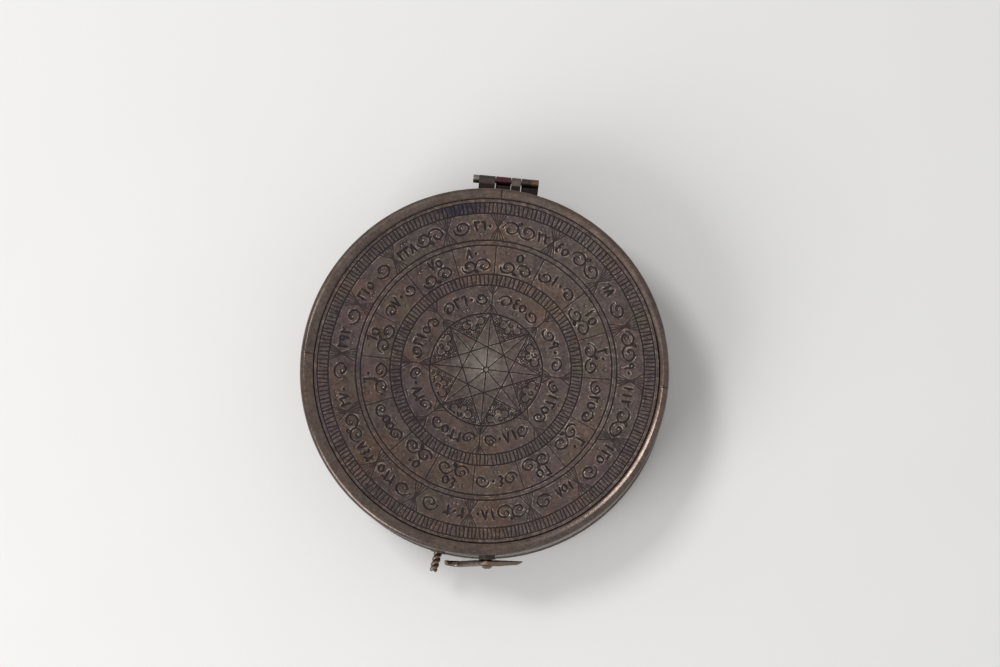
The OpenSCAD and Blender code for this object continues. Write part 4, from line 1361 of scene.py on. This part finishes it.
def dress_solids():
    """Gives every solid that is kept its finish."""
    on_axis = (0, 0)
    compass = (0, COMPASS_Y)
    case = plain_brass("case_brass", "rim", 12, (0.28, 0.42), on_axis)
    base = plain_brass("base_brass", "rim", 10, (0.3, 0.45), on_axis)
    inside = plain_brass("inner_brass", "inner", 9, (0.3, 0.45), on_axis)
    dial = plain_brass("dial_brass", "dial", 12, (0.3, 0.46), on_axis)
    bowl = plain_brass("bowl_brass", "inner", 6, (0.28, 0.42), compass)
    fitting = plain_brass("fitting_brass", "fitting", 4, (0.3, 0.46))
    instrument = plain_brass("instrument_brass", "instrument", 4, (0.28, 0.42))
    pin = steel("pin_steel", (0.14, 0.135, 0.12), (0.35, 0.55))
    washer = steel("dark_steel", (0.05, 0.045, 0.04), (0.4, 0.6))
    needle = steel("blued_steel", (0.045, 0.06, 0.13), (0.2, 0.36), COMPASS_Y)
    dressed = {
        case: ["case_wall"],
        base: ["case_base"],
        inside: ["case_sleeve", "dial_ledge"],
        dial: ["dial_plate"],
        bowl: ["compass_bowl", "glass_ring"],
        fitting: ["hook_rivet", "stud_washer", "hinge_rivets_lid", "hinge_rivets_case"],
        instrument: ["index_collar", "index_arm", "index_rivet", "gnomon_bracket", "gnomon", "needle_cap"],
        hinge_brass(): ["hinge_leaf_lid", "hinge_leaf_case"],
        pin: ["hinge_pin", "gnomon_pin", "needle_pivot", "dial_screws"],
        washer: ["hook_washer"],
        needle: ["needle"],
        old_glass(): ["compass_glass"],
    }
    for material, nodes in dressed.items():
        for name in nodes:
            slots = frame["nodes"][name].data.materials
            slots.clear()
            slots.append(material)


# The studio


def make_camera(settings):
    """Adds the camera: it looks along the photograph's line of sight, turned until the lid's middle meets
    its pixel."""
    data = bpy.data.cameras.new("photo_camera")
    data.sensor_width = SENSOR_WIDTH
    data.lens = settings.lens
    data.clip_start = 0.01
    tilt = settings.tilt
    turn = settings.azimuth
    back = Vector((math.sin(turn) * math.sin(tilt), -math.cos(turn) * math.sin(tilt), math.cos(tilt)))
    level = Vector((-math.sin(settings.roll), math.cos(settings.roll), 0))
    up = (level - level.dot(back) * back).normalized()
    facing = Matrix((up.cross(back), up, back)).transposed()
    aside = LID_PIXEL[0] - PHOTO_SIZE[0] / 2
    below = LID_PIXEL[1] - PHOTO_SIZE[1] / 2
    pixels_away = settings.lens / SENSOR_WIDTH * PHOTO_SIZE[0]
    offset = Vector((0, 0, -1)).rotation_difference(Vector((aside, -below, -pixels_away))).to_matrix()
    place = Vector((0, 0, LID_TOP_Z * MM)) + settings.distance * back
    camera = add_to_scene("photo_camera", data)
    camera.matrix_world = Matrix.Translation(place) @ (facing @ offset.inverted()).to_4x4()
    bpy.context.scene.camera = camera


def make_lamp(name, place, size, power):
    """Adds a soft square lamp that faces the object's middle."""
    data = bpy.data.lights.new(name, "AREA")
    data.size = size
    data.energy = power
    lamp = add_to_scene(name, data)
    object_middle = Vector((0, 0, 0.01))
    facing = (Vector(place) - object_middle).to_track_quat("Z", "Y").to_matrix().to_4x4()
    lamp.matrix_world = Matrix.Translation(Vector(place)) @ facing


def floor_paper(settings):
    """The floor: pale paper with faint clouds and a fine grain."""
    finish = Finish("floor_paper")
    pale = tuple(settings.floor_colour)
    colour = finish.blend(finish.noise(30, 4.0), pale, tinted(pale, 0.97))
    grain = finish.bump(finish.noise(0.8), 0.05, 0.2)
    return finish.finish(Base_Color=colour, Roughness=0.8, Normal=grain)


def make_floor(settings):
    """Adds the floor: a level round sheet just under the object."""
    height = -0.05
    turn = even_turns(64)
    radius = np.array([100, 400, 3000])
    points = round_axis(turn, radius, height).reshape(-1, 3)
    inner_edge = np.arange(len(turn)) * len(radius)
    faces = [wrapped_quads(len(turn), len(radius), closed=False), end_fan(inner_edge, len(points), False)]
    floor = new_mesh("floor", np.append(points, [[0, 0, height]], 0), faces, floor_paper(settings))


def make_world(settings):
    """Sets an even pale world, brighter where the camera, a reflection or glass sees it than as a light."""
    world = bpy.data.worlds.new("studio")
    bpy.context.scene.world = world
    world.use_nodes = True
    nodes = Nodes(world.node_tree)
    rays = nodes.node("ShaderNodeLightPath").outputs
    seen = rays["Is Camera Ray"]
    for name in ("Is Glossy Ray", "Is Transmission Ray"):
        seen = nodes.math("MAXIMUM", seen, rays[name])
    lights = nodes.node("ShaderNodeBackground", {"Strength": settings.world_light}).outputs[0]
    shown = nodes.node("ShaderNodeBackground", {"Color": tuple(settings.floor_colour)}).outputs[0]
    both = nodes.node("ShaderNodeMixShader", {0: seen, 1: lights, 2: shown}).outputs[0]
    nodes.node("ShaderNodeOutputWorld", {"Surface": both})


def make_studio(settings):
    """Adds the floor, the world, both lamps and the camera."""
    make_floor(settings)
    make_world(settings)
    make_lamp("upper_left_lamp", (-0.45, 0.29, 0.76), 0.24, settings.key_power)
    make_lamp("lower_left_lamp", (-0.47, -0.45, 0.42), 0.46, settings.fill_power)
    make_camera(settings)
    bpy.context.scene.view_settings.view_transform = "Standard"


# Settings that a user would change


class QiblaLidSettings(bpy.types.PropertyGroup):
    """Sizes of the lid's engraving."""

    grid_step: bpy.props.FloatProperty(
        name="Grid step", description="Distance between neighbouring points of the engraved face",
        default=0.11 * MM, unit="LENGTH", precision=5)
    line_width: bpy.props.FloatProperty(
        name="Line width", description="Width of the engraved circles and straight lines",
        default=0.34 * MM, unit="LENGTH", precision=5)
    line_depth: bpy.props.FloatProperty(
        name="Line depth", description="Depth of the engraved circles and straight lines",
        default=0.13 * MM, unit="LENGTH", precision=5)
    stroke_width: bpy.props.FloatProperty(
        name="Stroke width", description="Greatest width of a stroke of the ornament",
        default=0.42 * MM, unit="LENGTH", precision=5)
    stroke_depth: bpy.props.FloatProperty(
        name="Stroke depth", description="Depth of the ornament's strokes",
        default=0.15 * MM, unit="LENGTH", precision=5)
    tick_width: bpy.props.FloatProperty(
        name="Tick width", description="Width of a tick of the two scales",
        default=0.36 * MM, unit="LENGTH", precision=5)
    inner_ticks: bpy.props.IntProperty(
        name="Inner ticks", description="Ticks in the scale inside the middle cells", default=146, min=8)
    outer_ticks: bpy.props.IntProperty(
        name="Outer ticks", description="Ticks in the scale at the edge", default=256, min=8)
    shift: bpy.props.FloatVectorProperty(
        name="Shift", description="How far the engraving's middle is off the lid's middle",
        default=(0.402 * MM, 0.202 * MM), size=2, unit="LENGTH", precision=5)


class QiblaFinishSettings(bpy.types.PropertyGroup):
    """Colours of the metals."""

    face: bpy.props.FloatVectorProperty(
        name="Face", description="Colour of the lid's engraved face", default=(0.084, 0.0655, 0.06),
        size=3, subtype="COLOR")
    rim: bpy.props.FloatVectorProperty(
        name="Rim and wall", description="Colour of the rim, the wall and the foot",
        default=(0.112, 0.087, 0.076), size=3, subtype="COLOR")
    fitting: bpy.props.FloatVectorProperty(
        name="Fittings", description="Colour of the catch and the small parts",
        default=(0.15, 0.118, 0.1), size=3, subtype="COLOR")
    hinge: bpy.props.FloatVectorProperty(
        name="Hinge", description="Colour of the hinge's leaves", default=(0.056, 0.046, 0.042),
        size=3, subtype="COLOR")
    inner: bpy.props.FloatVectorProperty(
        name="Inside", description="Colour of the less tarnished inside", default=(0.3, 0.215, 0.125),
        size=3, subtype="COLOR")
    instrument: bpy.props.FloatVectorProperty(
        name="Index and gnomon", description="Colour of the index and the gnomon",
        default=(0.19, 0.135, 0.085), size=3, subtype="COLOR")
    dial: bpy.props.FloatVectorProperty(
        name="Dial", description="Colour of the dial plate", default=(0.37, 0.28, 0.165),
        size=3, subtype="COLOR")
    card: bpy.props.FloatVectorProperty(
        name="Card", description="Colour of the compass card", default=(0.5, 0.44, 0.32),
        size=3, subtype="COLOR")
    # This colour fills the cuts as dirt, and darkens the hinge's leaves as painted shade.
    dirt: bpy.props.FloatVectorProperty(
        name="Dirt", description="Colour of the wax and dirt in the cuts", default=(0.014, 0.0092, 0.0112),
        size=3, subtype="COLOR")
    worn: bpy.props.FloatVectorProperty(
        name="Worn edges", description="Colour of the metal that shows along the edges of the cuts",
        default=(0.27, 0.22, 0.19), size=3, subtype="COLOR")


class QiblaStageSettings(bpy.types.PropertyGroup):
    """The camera, the light and the floor."""

    lens: bpy.props.FloatProperty(
        name="Lens", description="Focal length on a sensor 36 mm wide, in millimetres", default=102)
    distance: bpy.props.FloatProperty(
        name="Distance", description="From the camera to the middle of the lid",
        default=0.5737, unit="LENGTH")
    tilt: bpy.props.FloatProperty(
        name="Tilt", description="Angle of the line of sight from straight down",
        default=math.radians(6.4), subtype="ANGLE")
    azimuth: bpy.props.FloatProperty(
        name="Azimuth", description="Direction in which the camera stands, turned from the front",
        default=math.radians(22.8), subtype="ANGLE")
    roll: bpy.props.FloatProperty(
        name="Roll", description="Turn of the picture round the line of sight",
        default=math.radians(5.8), subtype="ANGLE")
    key_power: bpy.props.FloatProperty(
        name="Upper left lamp", description="Power of the high lamp at the upper left of the picture",
        default=2.6, unit="POWER")
    fill_power: bpy.props.FloatProperty(
        name="Lower left lamp", description="Power of the low lamp at the lower left of the picture",
        default=3.0, unit="POWER")
    world_light: bpy.props.FloatProperty(
        name="World light", description="Strength with which the world lights the object", default=0.6)
    floor_colour: bpy.props.FloatVectorProperty(
        name="Floor", description="Colour of the floor and the background", default=(0.86, 0.855, 0.84),
        size=3, subtype="COLOR")


# Operators


class QIBLA_OT_lid_face(bpy.types.Operator):
    """Engraves the lid's face: star, cells and scales"""

    bl_idname = "qibla.lid_face"
    bl_label = "Lid face"

    def execute(self, context):
        make_lid_face(context.scene.qibla_lid)
        return {"FINISHED"}


class QIBLA_OT_lid_rim(bpy.types.Operator):
    """Turns the lid's ring with its round rim"""

    bl_idname = "qibla.lid_rim"
    bl_label = "Lid rim"

    def execute(self, context):
        make_lid_rim(context.scene.qibla_lid)
        return {"FINISHED"}


class QIBLA_OT_inside(bpy.types.Operator):
    """Engraves the ring of degrees and the compass card"""

    bl_idname = "qibla.inside"
    bl_label = "Dial scale and compass card"

    def execute(self, context):
        make_dial_scale(context.scene.qibla_lid)
        make_compass_card(context.scene.qibla_lid)
        return {"FINISHED"}


class QIBLA_OT_catch(bpy.types.Operator):
    """Twists the wires of the catch's stud and forges its hook"""

    bl_idname = "qibla.catch"
    bl_label = "Catch"

    def execute(self, context):
        make_catch_stud()
        make_catch_hook()
        return {"FINISHED"}


class QIBLA_OT_finishes(bpy.types.Operator):
    """Gives the solids their finishes"""

    bl_idname = "qibla.finishes"
    bl_label = "Finishes"

    def execute(self, context):
        dress_solids()
        return {"FINISHED"}


class QIBLA_OT_stage(bpy.types.Operator):
    """Sets up the floor, the light and the camera"""

    bl_idname = "qibla.stage"
    bl_label = "Studio"

    def execute(self, context):
        make_studio(context.scene.qibla_stage)
        return {"FINISHED"}


OPERATORS = (QIBLA_OT_lid_face, QIBLA_OT_lid_rim, QIBLA_OT_inside, QIBLA_OT_catch, QIBLA_OT_finishes,
             QIBLA_OT_stage)
SETTINGS = {
    "qibla_lid": QiblaLidSettings,
    "qibla_finishes": QiblaFinishSettings,
    "qibla_stage": QiblaStageSettings,
}


class QIBLA_PT_panel(bpy.types.Panel):
    """Lists the pieces and their settings"""

    bl_label = "Qibla indicator"
    bl_idname = "QIBLA_PT_panel"
    bl_space_type = "VIEW_3D"
    bl_region_type = "UI"
    bl_category = "Qibla"

    def draw(self, context):
        for name in SETTINGS:
            group = getattr(context.scene, name)
            box = self.layout.box()
            for key in group.bl_rna.properties.keys():
                if key not in ("rna_type", "name"):
                    box.prop(group, key)
        for operator in OPERATORS:
            self.layout.operator(operator.bl_idname)


def register():
    """Registers the settings, the operators and the panel."""
    for group in SETTINGS.values():
        bpy.utils.register_class(group)
    for name, group in SETTINGS.items():
        setattr(bpy.types.Scene, name, bpy.props.PointerProperty(type=group))
    for operator in OPERATORS:
        bpy.utils.register_class(operator)
    bpy.utils.register_class(QIBLA_PT_panel)


def unregister():
    """Takes away what register added."""
    bpy.utils.unregister_class(QIBLA_PT_panel)
    for operator in reversed(OPERATORS):
        bpy.utils.unregister_class(operator)
    for name, group in SETTINGS.items():
        delattr(bpy.types.Scene, name)
        bpy.utils.unregister_class(group)


def main():
    """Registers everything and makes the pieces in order."""
    register()
    bpy.ops.qibla.lid_face()
    bpy.ops.qibla.lid_rim()
    bpy.ops.qibla.inside()
    bpy.ops.qibla.catch()
    bpy.ops.qibla.finishes()
    bpy.ops.qibla.stage()


if __name__ == "__main__":
    main()
